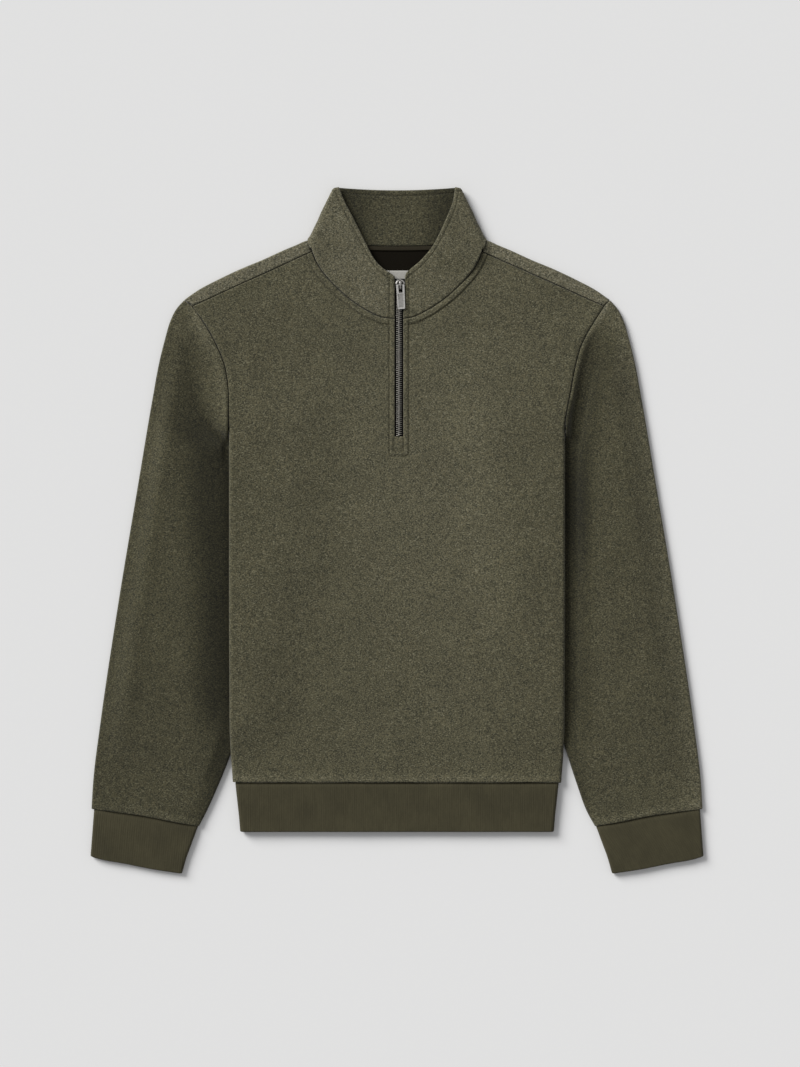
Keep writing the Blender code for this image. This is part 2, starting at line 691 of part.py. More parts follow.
def rounded_rectangle(low, high, radius, taper=1.0):
    """A rectangle's outline with round corners. Its lower end is taper times as wide as its upper end."""
    points = []
    corners = ((high[0], high[1], 0), (low[0], high[1], 90), (low[0], low[1], 180), (high[0], low[1], 270))
    for x, y, start in corners:
        middle = math.radians(start + 45)
        centre_x = x - math.copysign(radius, math.cos(middle))
        centre_y = y - math.copysign(radius, math.sin(middle))
        for turn in (0, 30, 60, 90):
            angle = math.radians(start + turn)
            width = 1 + (taper - 1) * (high[1] - y) / (high[1] - low[1])
            point_x = (centre_x + radius * math.cos(angle)) * width
            points.append((point_x, centre_y + radius * math.sin(angle)))
    return points


def mirrored(half):
    """An outline from the half of it on the +X side, listed from one end to the other."""
    return [*half, *((-x, y) for x, y in reversed(half) if x)]


def zip_slider(material):
    """Slider body with its bridge, an arch that the pull's bar lies in."""
    mesh = flat_outline("slider body", [mirrored(SLIDER_HALF)], SLIDER_HEIGHT)
    slider = added("zip_slider", mesh, material)
    slider.location = np.array([SLIDER_X, PIVOT[1] - CENTRE_Y, SLIDER_BOTTOM + SLIDER_HEIGHT / 2]) * MM
    mesh = flat_outline("slider bridge", [BRIDGE_OUTSIDE, BRIDGE_EYE], BRIDGE_WIDTH)
    bridge = bpy.data.objects.new("slider bridge", mesh)
    bpy.data.collections["cutters"].objects.link(bridge)
    bridge.hide_render = True
    bridge.display_type = "WIRE"
    upright = Matrix(((0, 0, 1, 0), (1, 0, 0, 0), (0, 1, 0, 0), (0, 0, 0, 1)))
    foot = np.array([PIVOT[0], PIVOT[1] - CENTRE_Y, SLIDER_BOTTOM + SLIDER_HEIGHT]) * MM
    bridge.matrix_world = Matrix.Translation(foot) @ upright
    join = slider.modifiers.new("bridge", "BOOLEAN")
    join.operation = "UNION"
    join.solver = "EXACT"
    join.object = bridge
    return slider


def zip_pull(material):
    """A flat pull with a window round the slider's bridge. Its origin is on its hinge axis."""
    plate = rounded_rectangle(*PULL_CORNERS, 0.6, PULL_TAPER)
    window = rounded_rectangle(*PULL_WINDOW_CORNERS, 0.3)
    pull = added("zip_pull", flat_outline("zip pull", [plate, window], PULL_HEIGHT), material)
    pull.location = np.array([PIVOT[0], PIVOT[1] - CENTRE_Y, PIVOT[2]]) * MM
    pull.rotation_euler.z = PULL_TURN
    return pull


def coloured(name, colour, roughness, metallic=0.0):
    material = bpy.data.materials.new(name)
    material.use_nodes = True
    shader = material.node_tree.nodes["Principled BSDF"]
    shader.inputs["Base Color"].default_value = (*colour, 1.0)
    shader.inputs["Roughness"].default_value = roughness
    shader.inputs["Metallic"].default_value = metallic
    return material


def clear_scene():
    for item in list(bpy.data.objects):
        bpy.data.objects.remove(item)
    for name in ("half_zip_sweatshirt", "cutters"):
        collection = bpy.data.collections.new(name)
        bpy.context.scene.collection.children.link(collection)


def build():
    clear_scene()
    fleece = coloured("olive fleece", (0.085, 0.079, 0.051), 0.95)
    rib = coloured("olive rib", (0.050, 0.046, 0.027), 0.85)
    tape = coloured("zip tape", (0.012, 0.011, 0.008), 0.8)
    metal = coloured("aged silver", (0.55, 0.53, 0.50), 0.35, 1.0)
    dark_metal = coloured("dark silver", (0.25, 0.24, 0.23), 0.4, 1.0)
    label = coloured("pale label", (0.36, 0.35, 0.32), 0.7)
    body_front(fleece)
    body_back(fleece)
    for side in (LEFT, RIGHT):
        sleeve(side, fleece)
        cuff(side, rib)
    hem_band(rib)
    collar(fleece)
    neck_tape(rib)
    neck_label(label)
    zip_tapes(tape)
    zip_chain(dark_metal)
    zip_slider(metal)
    zip_pull(metal)


build()
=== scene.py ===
"""Looks of the half zip sweatshirt laid flat: cloth, stitching, zip, light and camera.

The tables and lengths are in millimetres, as the pattern is cut, and become metres in `mesh_piece`
and `plate`. "out" is the distance from the garment's centre line, so that one table serves both
sides. Each cloth surface is a grid of points on its outer face, worked out as whole arrays.
"""

import math
from typing import NamedTuple

import bmesh
import bpy
import numpy as np
from mathutils import Matrix


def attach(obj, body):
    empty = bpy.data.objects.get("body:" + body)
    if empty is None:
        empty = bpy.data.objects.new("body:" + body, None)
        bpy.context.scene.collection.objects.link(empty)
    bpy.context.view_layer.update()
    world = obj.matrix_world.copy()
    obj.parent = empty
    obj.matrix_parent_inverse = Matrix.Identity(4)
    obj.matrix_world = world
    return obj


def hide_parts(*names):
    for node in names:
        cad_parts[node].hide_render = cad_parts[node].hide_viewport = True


bl_info = {
    "name": "Half Zip Sweatshirt",
    "version": (1, 0, 0),
    "blender": (4, 5, 0),
    "location": "View3D > Sidebar > Half Zip",
    "description": "Dresses a half zip sweatshirt laid flat: fleece, rib, stitching and a metal zip",
    "category": "Object",
}

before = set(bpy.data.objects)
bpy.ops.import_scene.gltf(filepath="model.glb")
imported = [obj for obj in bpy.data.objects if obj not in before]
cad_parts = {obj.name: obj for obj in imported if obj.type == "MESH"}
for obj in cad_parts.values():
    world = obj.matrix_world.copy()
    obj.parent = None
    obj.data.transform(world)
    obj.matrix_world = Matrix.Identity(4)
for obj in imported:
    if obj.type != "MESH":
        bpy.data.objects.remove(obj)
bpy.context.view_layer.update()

MM = 0.001
CENTRE_Y = -0.95  # middle of the garment's length in these tables, which is y = 0 in the model

# Heights of the outer faces above the table
SHOULDER_TOP = 5.4
SHOULDER_RADIUS = SHOULDER_TOP / 2
SLEEVE_TOP = 5.4
SLEEVE_LIFT = 5.9  # of the body, over the tucked sleeve
FLAP_LIFT = 2.9  # of the back, over the front's turned-under side
FRONT_TOP = 8.2
FOLD_RADIUS = FRONT_TOP / 2
COLLAR_TOP = 9.3
COLLAR_FOLD_TOP = 10.4
CUFF_TOP_HEIGHT = 6.2
TRIM_TOP = 3.7  # neck tape and label
TAPE_TOP = 5.1  # zip tapes

# Places along Y
HEM_SEAM = -297.4
HEM_EDGE = -355.6
BAND_TOP = -296.9
UNDERARM = 110.0
SLIT_END = 110.0
TUCK_Y = 102.0
STITCH_END = 86.6  # where the topstitching turns across below the zip
TAPE_ENDS = (98.0, 296.0)
TEETH_ENDS = (111.2, 283.4)
LABEL_ENDS = (272.0, 305.8)
COLLAR_OPENING_END = 298.4
NECK_AT_SLIT = 248.3
NECK_AT_SHOULDER_SEAM = 328.0
NECK_TOP = 341.8
BACK_NECK_Y = 334.5  # foot of the collar's inner back
BACK_SEAM_Y = 334.2  # neck seam of the back and top of the tape over it
BACK_NECK_RISE = 4.0  # of the back neck seam, 100 mm from its middle
COLLAR_TOP_Y = 400.6

# Widths and distances
FLAP_EDGE = 125.0  # side seam on the turned-under side, from the centre line
ZIP_X = 2.4
SLIT_HALF = 4.95  # from the zip's line to the slit's edge
PIVOT = (3.9, 288.0, 10.4)  # of the pull
PULL_TURN = math.radians(2.8)
PULL_TAPER = (0.75, -28.2, 0.87)  # from y, to y, and the share of its width the pull has there
WELT_WIDTH = 7.6
TOP_STITCH = 6.7  # from the collar's top edge
STITCH_OUT = 11.5  # topstitching beside the zip, from the zip's line
STITCH_DIP = 0.6  # how far topstitching presses into the cloth
STITCH_SPREAD = 0.95  # half width of that dip
STITCH_SHADE = 0.27  # how much darker the cloth is painted beside stitching: painted shade of its groove
THREAD_RISE = 0.12  # of the stitches' middles over the pressed cloth
CUFF_OVERLAP = 1.8  # how far a cuff reaches into its sleeve
SLEEVE_LENGTH = 480.0  # from the armhole seam to the cuff, which scales the distances between
BACK_NECK_TAPE = (90.0, 4.9)  # half length, width
NECK_TAPE_THICKNESS = 1.0
LABEL_HALF = 24.0
LABEL_THICKNESS = 0.9
ZIP_TAPE = (0.15, 11.8)  # a tape's edges, from the zip's line
ZIP_TAPE_THICKNESS = 0.8
# stitched box at the zip's end: its two sides from the zip's line, its bottom and its top
ZIP_BOX = (-6.0, 5.2, 92.6, 109.0)
# the forward shoulder seam as a straight line: one of its points (out, y), and its fall
SHOULDER_SEAM = (107.6, 324.7, 0.453)

# Light and camera, in metres
FLOOR_HALF = 6.0
FLOOR_Z = -0.0004
SUN_FROM = (-0.743, 0.669, 0.533)
SUN_STRENGTH = 3.75
SUN_ANGLE = math.radians(30)
SUN_COLOUR = (1.0, 0.995, 0.985)
SKY_COLOUR = (0.985, 0.99, 1.0, 1.0)
SKY_STRENGTH = 0.38
CAMERA_AT = (0.0035, -0.0032, 2.973)
CAMERA_LENS = 85

# y, out
SIDE_FOLD = ((-298.0, 193.3), (-269.0, 195.7), (-236.0, 197.0), (-100.0, 197.6), (110.0, 197.6))
# y, out on the left, out on the right
ARMHOLE = (
    (126.0, 197.9, 197.5),
    (147.5, 197.9, 201.0),
    (166.5, 198.5, 204.7),
    (183.4, 200.6, 207.7),
    (200.0, 204.8, 211.5),
    (214.9, 211.2, 215.8),
    (229.6, 218.5, 222.7),
    (246.6, 229.0, 232.9),
    (263.5, 240.9, 244.0),
)
SHOULDER_POINT = (250.5, 271.5)
# out, y
NECK = (
    (22.3, 251.7),
    (31.5, 256.3),
    (41.9, 262.0),
    (51.0, 268.3),
    (60.1, 275.3),
    (68.4, 282.7),
    (76.2, 290.5),
    (83.7, 298.8),
    (90.7, 308.0),
    (95.7, 317.1),
    (99.6, 327.0),
    (101.8, 332.8),
    (103.6, 341.8),
)
# y, out on the left, out on the right
COLLAR_OPENING = (
    (384.9, 60.7, 65.1),
    (373.6, 54.5, 60.8),
    (359.3, 47.3, 54.6),
    (347.0, 41.2, 48.7),
    (334.8, 35.0, 42.2),
    (324.5, 30.0, 34.2),
    (315.3, 23.8, 25.4),
    (307.2, 15.2, 15.6),
    (303.0, 8.4, 11.2),
)
# out, y
COLLAR_FOLD = (
    (106.6, 341.4),
    (103.3, 345.7),
    (98.5, 355.2),
    (93.8, 364.6),
    (89.7, 374.0),
    (85.0, 383.5),
    (80.2, 392.9),
    (76.2, 401.0),
    (73.6, 403.6),
)
SHOULDER_FOLD = (
    (103.8, 341.8),
    (107.2, 341.0),
    (118.0, 336.3),
    (132.2, 330.4),
    (158.1, 318.6),
    (186.4, 306.8),
    (211.2, 295.0),
    (233.6, 283.2),
    SHOULDER_POINT,
)
SLEEVE_OUTER = (
    SHOULDER_POINT,
    (260.8, 259.6),
    (266.7, 247.8),
    (273.8, 224.2),
    (279.7, 200.6),
    (288.5, 153.4),
    (304.4, 59.0),
    (328.0, -82.6),
    (349.3, -224.2),
    (358.1, -295.0),
    (360.2, -329.0),
)
# y, out on the left, out on the right
SLEEVE_INNER = (
    (92.0, 127.0, 127.0),
    (-20.0, 143.0, 143.0),
    (-120.0, 160.0, 160.0),
    (-200.0, 178.0, 180.0),
    (-266.0, 196.7, 201.0),
    (-299.5, 210.0, 212.0),
    (-332.8, 225.0, 224.3),
    (-349.4, 233.5, 233.5),
)
# out, y, of the armhole seam where it dives under the body
UNDER_SEAM = (
    (198.5, 118.0),
    (198.7, 110.0),
    (198.6, TUCK_Y),
    (195.5, 96.0),
    (185.0, 93.5),
    (158.0, 92.5),
)
# y, out on the left, out on the right, of the soft valley between the armhole seam and the
# sleeve's crown
SLEEVE_VALLEY = (
    (236.0, 253.7, 232.0),
    (212.0, 249.0, 225.0),
    (189.0, 244.3, 219.5),
    (165.0, 239.5, 212.4),
    (141.6, 232.5, 208.0),
    (118.0, 219.0, 204.0),
    (97.9, 199.0, 199.0),
)
SLEEVE_END = ((360.2, -329.0), (321.4, -333.7), (293.9, -337.8), (268.7, -343.0), (233.5, -349.4))
CUFF_TOP = ((357.2, -330.2), (321.4, -334.1), (293.9, -338.2), (268.7, -343.4), (235.0, -349.9))
CUFF_BOTTOM = ((361.3, -384.6), (349.9, -388.0), (321.4, -393.2), (289.8, -399.5), (253.6, -405.1))
CUFF_INNER = ((235.0, -350.3), (242.4, -370.4), (247.8, -385.0), (253.6, -405.1))
CUFF_OUTER = ((357.2, -330.6), (361.3, -384.6))
BAND_SIDE = ((HEM_EDGE, 184.8), (-338.0, 186.2), (-298.0, 190.6))

# Soft creases, listed with their ends in x and y: from, to, half width, height (a trough is below 0)
BODY_CREASES = (
    (-150, 60, -60, -10, 26, -0.9),
    (-170, -60, -90, -150, 30, 0.8),
    (160, 95, 70, 40, 24, -0.8),
    (150, -40, 95, -170, 30, 0.9),
    (-120, 190, -70, 230, 22, -0.6),
    (130, 200, 60, 235, 22, -0.6),
    (-40, -120, 30, -250, 34, -0.7),
    (-184, -180, -176, -285, 16, 0.9),
    (182, -150, 172, -280, 18, -0.8),
)
SLEEVE_CREASES = (
    (-262, 120, -232, 40, 12, -0.8),
    (-280, 60, -240, -60, 16, 1.0),
    (-300, -120, -250, -190, 16, -0.9),
    (-330, -250, -270, -300, 14, 0.9),
    (262, 150, 235, 80, 12, -0.8),
    (285, 20, 245, -40, 16, 1.0),
    (312, -90, 262, -170, 16, -0.9),
    (335, -240, 275, -305, 14, 0.8),
)
# Slow unevenness of cloth that has been smoothed out by hand: wavelength, direction in degrees,
# phase, height
WAVES = (
    (118, 20, 0.4, 0.30),
    (83, 104, 1.9, 0.24),
    (61, 62, 3.1, 0.15),
    (47, 151, 5.2, 0.10),
    (36, 8, 2.2, 0.06),
)


class Side(NamedTuple):
    """One half of the garment: the sign of its x, its column in the tables that tell the sides
    apart, how far out the zip's line lies, and how much the slit widens beside the slider."""

    name: str
    sign: int
    column: int
    zip_out: float
    slit_flare: float


LEFT = Side("left", -1, 1, -ZIP_X, 0.0)
RIGHT = Side("right", 1, 2, ZIP_X, 2.0)
SIDES = (LEFT, RIGHT)


# ---------------------------------------------------------------- curves and grids


def eased(t):
    """0 up to t = 0, 1 from t = 1, and the S-curve t * t * (3 - 2t) between."""
    t = np.clip(t, 0.0, 1.0)
    return t * t * (3 - 2 * t)


def bell(t):
    """A bell curve, 1 at t = 0 and near 0 from t = 2."""
    return np.exp(-t * t)


def even(count):
    """Evenly spaced fractions from 0 to 1."""
    return np.linspace(0.0, 1.0, count)


def unit(vectors):
    """The vectors divided by their lengths."""
    return vectors / np.maximum(np.linalg.norm(vectors, axis=-1, keepdims=True), 1e-9)


def walked(grid, axis=0):
    """How far each point lies from the first along an axis of a grid: the running sum of its
    steps."""
    steps = np.linalg.norm(np.diff(grid, axis=axis), axis=-1).cumsum(axis=axis)
    return np.concatenate([np.zeros_like(np.take(steps, [0], axis=axis)), steps], axis=axis)


def plan_of(across, up):
    """Points in plan from two arrays that broadcast together."""
    return np.stack(np.broadcast_arrays(across, up), axis=-1)


def out_at(y, curve):
    """How far out a rising curve of (out, y) points lies at heights y."""
    return np.interp(y, curve[:, 1], curve[:, 0])


def resampled(curve, fractions):
    """The points that lie these fractions of its length along a polyline."""
    curve = np.asarray(curve, float)
    length = walked(curve)
    steps = fractions * length[-1]
    return np.stack([np.interp(steps, length, curve[:, k]) for k in range(curve.shape[1])], axis=1)


def spline(points, fractions):
    """A cubic Hermite curve through the points, with slopes by chord length, at fractions of its
    length."""
    points = np.asarray(points, float)
    knots = walked(points)
    slopes = np.gradient(points, knots, axis=0)
    fine = np.linspace(0.0, knots[-1], 900)
    span = np.clip(np.searchsorted(knots, fine, side="right") - 1, 0, len(points) - 2)
    width = np.diff(knots)[span][:, None]
    t = (fine - knots[span])[:, None] / width
    start, end = points[span], points[span + 1]
    out_of_start, into_end = slopes[span] * width, slopes[span + 1] * width
    curve = (
        (2 * t**3 - 3 * t**2 + 1) * start
        + (t**3 - 2 * t**2 + t) * out_of_start
        + (3 * t**2 - 2 * t**3) * end
        + (t**3 - t**2) * into_end
    )
    return resampled(curve, fractions)


def offset(curve, distance):
    """A polyline moved sideways, to the left of its direction."""
    along = unit(np.gradient(curve, axis=0))
    return curve + distance * plan_of(-along[:, 1], along[:, 0])


def patch(lower, upper, start, end, rows):
    """Coons patch: the two ruled surfaces between opposite borders, less the surface on the four
    corners. Rows run from the lower to the upper border, columns from the start to the end
    border."""
    v = rows[:, None, None]
    u = even(len(lower))[None, :, None]
    across = (1 - v) * lower[None] + v * upper[None]
    up = (1 - u) * start[:, None] + u * end[:, None]
    low_corners = (1 - u) * lower[0] + u * lower[-1]
    high_corners = (1 - u) * upper[0] + u * upper[-1]
    return across + up - (1 - v) * low_corners - v * high_corners


def lengths(grid):
    """How long each row of a grid is."""
    return np.linalg.norm(np.diff(grid, axis=1), axis=2).sum(axis=1)


def cuts(total, near_start, near_end, count):
    """Fractions at which rows of these total lengths are cut: at fixed distances from both their
    ends, and at count even steps between."""
    total = np.atleast_1d(total)[:, None]
    first = np.asarray(near_start, float) / total
    last = 1 - np.asarray(near_end, float)[::-1] / total
    between = first[:, -1:] + (last[:, :1] - first[:, -1:]) * even(count + 2)[1:-1]
    return np.concatenate([first, between, last], axis=1)


def recut(grid, fractions):
    """A grid whose rows are cut again at the given fractions of their lengths."""
    return np.array([resampled(row, cut) for row, cut in zip(grid, fractions)])


def lifted(plan, height):
    """(out, y) points with their heights as (out, y, z) points."""
    return np.concatenate([plan, np.broadcast_to(height, plan.shape[:-1])[..., None]], axis=-1)


def in_order(values, side):
    """Columns turned round on the right, so that a grid that faces out on the left does so there as
    well."""
    return values if side.sign < 0 else values[:, ::-1]


def on_side(grid, side):
    """(out, y, z) points put on their side."""
    return in_order(grid * [side.sign, 1, 1], side)


def distance(plan, curve):
    """How far points lie from a polyline in plan: the least distance to any of its segments."""
    points = plan.reshape(-1, 2)
    start, step = curve[:-1], np.diff(curve, axis=0)
    least = np.full(len(points), np.inf)
    for origin, along in zip(start, step):
        t = np.clip((points - origin) @ along / (along @ along), 0, 1)
        least = np.minimum(least, np.linalg.norm(points - origin - t[:, None] * along, axis=1))
    return least.reshape(plan.shape[:-1])


def roll(away, radius):
    """How far a rounded edge falls at a distance from the edge: a quarter circle of that radius."""
    short = np.clip(radius - away, 0, radius)
    return radius - np.sqrt(np.maximum(radius**2 - short**2, 0))


def arc(turns):
    """Cosines and sines of even steps from the top of a fold, over its edge, to its underside."""
    angles = np.linspace(math.pi / 2, -math.pi / 2, turns + 1)
    return np.cos(angles), np.sin(angles)


# Turns over the outer quarter of a fold, from its edge to its top
QUARTER = np.radians(np.arange(0, 91, 15))
# Distances at which grids are cut, from a plain edge, a folded side, and a seam with stitching
EDGE = (0, 0.4, 0.9, 1.6, 2.6, 4.0, 6.0, 9.0, 13.0)
SIDE_CUTS = (*(FOLD_RADIUS * (1 - np.cos(QUARTER))), 5.4, 7.4, 10.5, 15.0)
STITCH_CUTS = (3.8, 5.0, 5.9, 6.6, 7.2, 7.8, 8.4, 9.2, 10.4, 11.4, 12.4, 14.5, 18.0)
SEAM_CUTS = (*EDGE[:5], *STITCH_CUTS)
# for a sleeve, from the body's side
BESIDE_BODY = (70, 62, 54, 47, 41, 36, 31, 27, 23, 20, 17, 14, 11.5, 9, 7, 5, 3, 1.5, 0, -3)
# for the collar, from its neck seam and from its top edge
COLLAR_ROWS = (
    (0, 0.5, 1.2, 2.2, 3.6),
    (0, 0.4, 0.9, 1.5, 2.4, 3.6, 4.9, 5.7, 6.2, 6.7, 7.2, 7.8, 8.8, 11.0),
)


# ---------------------------------------------------------------- where the cloth lies


def on_this(side, table):
    """A table of y and its out on either side, as this side's (out, y) points."""
    return np.array([(row[side.column], row[0]) for row in table])


def side_fold(y):
    """How far out the body's folded side lies."""
    return np.interp(y, *np.transpose(SIDE_FOLD))


def hidden_edge(side, y):
    """How far out the tucked sleeve's inner edge lies."""
    return out_at(y, on_this(side, SLEEVE_INNER)[::-1])


def hem_wobble(x, y):
    """How far the hem seam wanders from a straight line: two sine waves, fading out above it."""
    wander = 0.42 * np.sin(x / 11.0 + 0.7) + 0.3 * np.sin(x / 27.0 + 2.0)
    return wander * (1 - eased((y - HEM_SEAM) / 16))


def body_edge(side):
    """Folded side and armhole seam as one curve from the hem to the shoulder seam, as (out, y)."""
    height = np.linspace(HEM_SEAM, UNDERARM, 80)
    fold = plan_of(side_fold(height), height)
    seam = spline([fold[-1], *on_this(side, ARMHOLE)], even(120))
    return np.concatenate([fold[:-1], seam])


def neck(side, upto, fractions):
    """The neck seam from the slit to the height upto."""
    at_slit = (slit_out(side, NECK_AT_SLIT), NECK_AT_SLIT)
    curve = spline([at_slit, *NECK], even(500))
    return resampled(curve[curve[:, 1] <= upto], fractions)


def from_neck(side, plan):
    """How far points lie from the neck seam."""
    return distance(plan, neck(side, NECK_TOP, even(60)))


def slit_out(side, y):
    """The slit's edge, which gives way to the slider on the right."""
    return side.zip_out + SLIT_HALF + side.slit_flare * eased((y - 256) / 26)


def over_tuck(y):
    """1 where the sleeve is tucked under the body, falling to 0 up the armhole and towards the
    hem."""
    return (1 - eased((y - UNDERARM) / 105)) * (1 - eased((-y - 222) / 55))


def turned_under_base(side, out, y):
    """Height of what lies under the body: the tucked sleeve at the side, the table in the
    middle."""
    return SLEEVE_LIFT * over_tuck(y) * eased((out - hidden_edge(side, y) + 60) / 59)


def back_base(side, out, y):
    """Height of the back's outer face, which also climbs over the front's turned-under side."""
    over_flap = 1 - eased((y - UNDERARM) / 45)
    return turned_under_base(side, out, y) + FLAP_LIFT * over_flap * eased((out - 60) / 64)


def below_shoulder(out, y):
    """How far a point lies below the forward shoulder seam, taken as a straight line."""
    seam_out, seam_y, fall = SHOULDER_SEAM
    return seam_y - fall * (out - seam_out) - y


def front_base(side, out, y):
    """Height of the front's smooth outer face: it rises below the shoulder seam and over the tucked
    sleeve."""
    loft = (FRONT_TOP - SHOULDER_TOP) * eased(below_shoulder(out, y) / 55)
    over_sleeve = SLEEVE_LIFT * over_tuck(y) * eased((out - hidden_edge(side, y) + 75) / 74)
    return SHOULDER_TOP + loft + over_sleeve


def creased(x, y, creases):
    """Height of the listed creases: for each, a bell across it that fades out at both its ends.
    ends."""
    total = np.zeros(np.shape(x))
    for x0, y0, x1, y1, half_width, height in creases:
        span = math.hypot(x1 - x0, y1 - y0)
        ahead, aside = (x1 - x0) / span, (y1 - y0) / span
        t = ((x - x0) * ahead + (y - y0) * aside) / span
        across = (x - x0) * aside - (y - y0) * ahead
        total += height * bell(across / half_width) * bell((t - 0.5) / 0.55)
    return total


def waved(x, y):
    """A sum of long, low sine waves in several directions."""
    total = np.zeros(np.shape(x))
    for length, direction, phase, height in WAVES:
        angle = math.radians(direction)
        along = x * math.cos(angle) + y * math.sin(angle)
        total += height * np.sin(2 * math.pi * along / length + phase)
    return total


def zip_lines(side):
    """Topstitching beside and below the zip on one side, and half of the box at the zip's end."""
    low, high, bottom, top = ZIP_BOX
    middle = side.zip_out
    box_out = middle + (-low if side.sign < 0 else high)
    line_out = middle + STITCH_OUT
    corner = [(line_out - 3, STITCH_END), (line_out, STITCH_END + 3)]
    line = np.array([(middle, STITCH_END), *corner, (line_out, COLLAR_OPENING_END + 20)])
    box = np.array([(middle, bottom), (box_out, bottom), (box_out, top)])
    return line, box


def stitched(side, plan):
    """1 on the lines of topstitching of the front and shoulder, and a bell curve 1 mm to either
    side."""
    line, box = zip_lines(side)
    from_welt = from_neck(side, plan) - WELT_WIDTH
    beside_zip = plan[..., 0] < side.zip_out + STITCH_OUT
    beside = np.maximum(bell(distance(plan, line) / STITCH_SPREAD), bell(distance(plan, box) / 0.9))
    return np.maximum(beside, bell(from_welt / STITCH_SPREAD) * ~beside_zip)


def zip_relief(side, plan):
    """Height round the zip: the faced strip stands a little proud inside its topstitching."""
    line = zip_lines(side)[0]
    inside = (plan[..., 0] < line[-1, 0]) & (plan[..., 1] > STITCH_END)
    return 0.5 * np.where(inside, eased(distance(plan, line) / 2.2), 0)


def neck_relief(side, plan, from_seam):
    """Height below the neck seam: a welt of turned seam allowance, and an edge rounded along both
    the neck seam and the shoulder seam."""
    away = from_neck(side, plan)
    welt = eased(away / 1.8) * (1 - eased((away - WELT_WIDTH + 1.6) / 1.5))
    return welt - np.maximum(roll(away, 0.8), roll(from_seam, 1.5))


def front_height(side, plan):
    """Height of the front's outer face with its rounded edges, welt, stitching and creases."""
    out, y = plan[..., 0], plan[..., 1]
    x = side.sign * out
    edge = body_edge(side)
    slope = np.interp(y, edge[:, 1], np.gradient(edge[:, 0], edge[:, 1]))
    away = np.maximum((out_at(y, edge) - out) / np.sqrt(1 + slope**2), 0)
    radius = 1.7 + (FOLD_RADIUS - 1.7) * (1 - eased((y - UNDERARM) / 34))
    seam_lift = 0.9 * bell((away - 5) / 4.5) * eased((y - 130) / 40)
    slit = np.array([(slit_out(side, SLIT_END), SLIT_END), (slit_out(side, 248), 248.0)])
    from_slit = np.where(y > SLIT_END - 0.01, distance(plan, slit), 99.0)
    from_shoulder = distance(plan, shoulder_line(side))
    soft = waved(x, y) + creased(x, y, BODY_CREASES)
    soft = soft * eased((away - 2) / 30) * eased((y - HEM_SEAM) / 25)
    hem_lip = 1.5 * bell((y - HEM_SEAM - 1.5) / 6.5)
    relief = neck_relief(side, plan, from_shoulder) + zip_relief(side, plan)
    relief += seam_lift + soft + hem_lip
    relief -= STITCH_DIP * stitched(side, plan) + roll(from_slit, 1.3) + roll(y - HEM_SEAM, 1.9)
    return front_base(side, out, y) + relief - roll(away, radius)


def body_painted_shading(side, plan):
    """How light the body is painted, as painted light and shade: a painted pool of light on the chest,
    right of the middle, and a painted highlight along the hem seam, where the cloth rolls up; painted
    shade a little down the right side, and in the grooves along the stitching."""
    x, y = side.sign * plan[..., 0], plan[..., 1]
    # painted pool of light on the chest, with less of it down the right side
    chest = bell(np.hypot((x - 45) / 170, (y - 90) / 330))
    chest -= 0.25 * eased((x - 90) / 60) * eased((220 - y) / 60)
    # painted highlight along the roll of the hem seam
    hem_painted_light = 1 + 0.14 * (1 - eased((y - HEM_SEAM - 7) / 4))
    # painted shade in the grooves of stitching
    return (0.78 + 0.22 * chest) * hem_painted_light * (1 - STITCH_SHADE * stitched(side, plan))


def shoulder_line(side):
    """The forward shoulder seam, from the armhole to the neck, as (out, y)."""
    seam_end = on_this(side, ARMHOLE)[-1]
    return np.array([seam_end, neck(side, NECK_AT_SHOULDER_SEAM, even(2))[-1]])


# ---------------------------------------------------------------- meshes


def in_scene(name, data):
    """A new object of the scene with this data."""
    made = bpy.data.objects.new(name, data)
    bpy.context.scene.collection.objects.link(made)
    return made


def mesh_piece(name, grids, material, painted_shading=(), uv=True):
    """A piece from grids of points in millimetres: quads between neighbours, joined where points
    coincide. Each grid also gives a UV map with its row and column lengths in metres, and, if given,
    its painted shading: how light or dark the cloth is painted at each of its points, as painted light
    and shade."""
    points, faces, coords, start = [], [], [], 0
    for grid in grids:
        rows, columns = grid.shape[:2]
        index = start + np.arange(rows * columns).reshape(rows, columns)
        corners = (index[:-1, :-1], index[:-1, 1:], index[1:, 1:], index[1:, :-1])
        faces.append(np.stack(corners, axis=-1).reshape(-1, 4))
        points.append((grid - [0, CENTRE_Y, 0]).reshape(-1, 3) * MM)
        coords.append(plan_of(walked(grid, axis=1), walked(grid)).reshape(-1, 2) * MM)
        start += rows * columns
    faces = np.concatenate(faces)
    mesh = bpy.data.meshes.new(name)
    mesh.from_pydata(np.concatenate(points).tolist(), [], faces.tolist())
    if uv:
        layer = mesh.uv_layers.new(name="lay")
        layer.data.foreach_set("uv", np.concatenate(coords)[faces].astype(np.float32).ravel())
    # the nap attribute holds painted light and shade: how light or dark the cloth is painted
    if len(painted_shading):
        spread = [np.broadcast_to(nap, grid.shape[:2]).ravel() for nap, grid in zip(painted_shading, grids)]
        nap = mesh.attributes.new("nap", "FLOAT", "POINT")
        nap.data.foreach_set("value", np.concatenate(spread).astype(np.float32))
    form = bmesh.new()
    form.from_mesh(mesh)
    bmesh.ops.remove_doubles(form, verts=form.verts, dist=2e-5)
    form.to_mesh(mesh)
    form.free()
    mesh.shade_smooth()
    mesh.materials.append(material)
    return in_scene(name, mesh)


def wall(piece, thickness, inside=None):
    """Gives a one-sided piece its thickness, inwards, with another finish on its inner face if
    given."""
    if inside:
        piece.data.materials.append(inside)
    modifier = piece.modifiers.new("cloth thickness", "SOLIDIFY")
    modifier.thickness = thickness * MM
    modifier.offset = -1
    modifier.material_offset = 1 if inside else 0
    return piece


def grid_normals(grid, wrap):
    """Unit normals of a grid: the cross product of its steps along rows and along columns."""
    if wrap:
        along = np.roll(grid, -1, axis=1) - np.roll(grid, 1, axis=1)
    else:
        along = np.gradient(grid, axis=1)
    return unit(np.cross(along, np.gradient(grid, axis=0)))


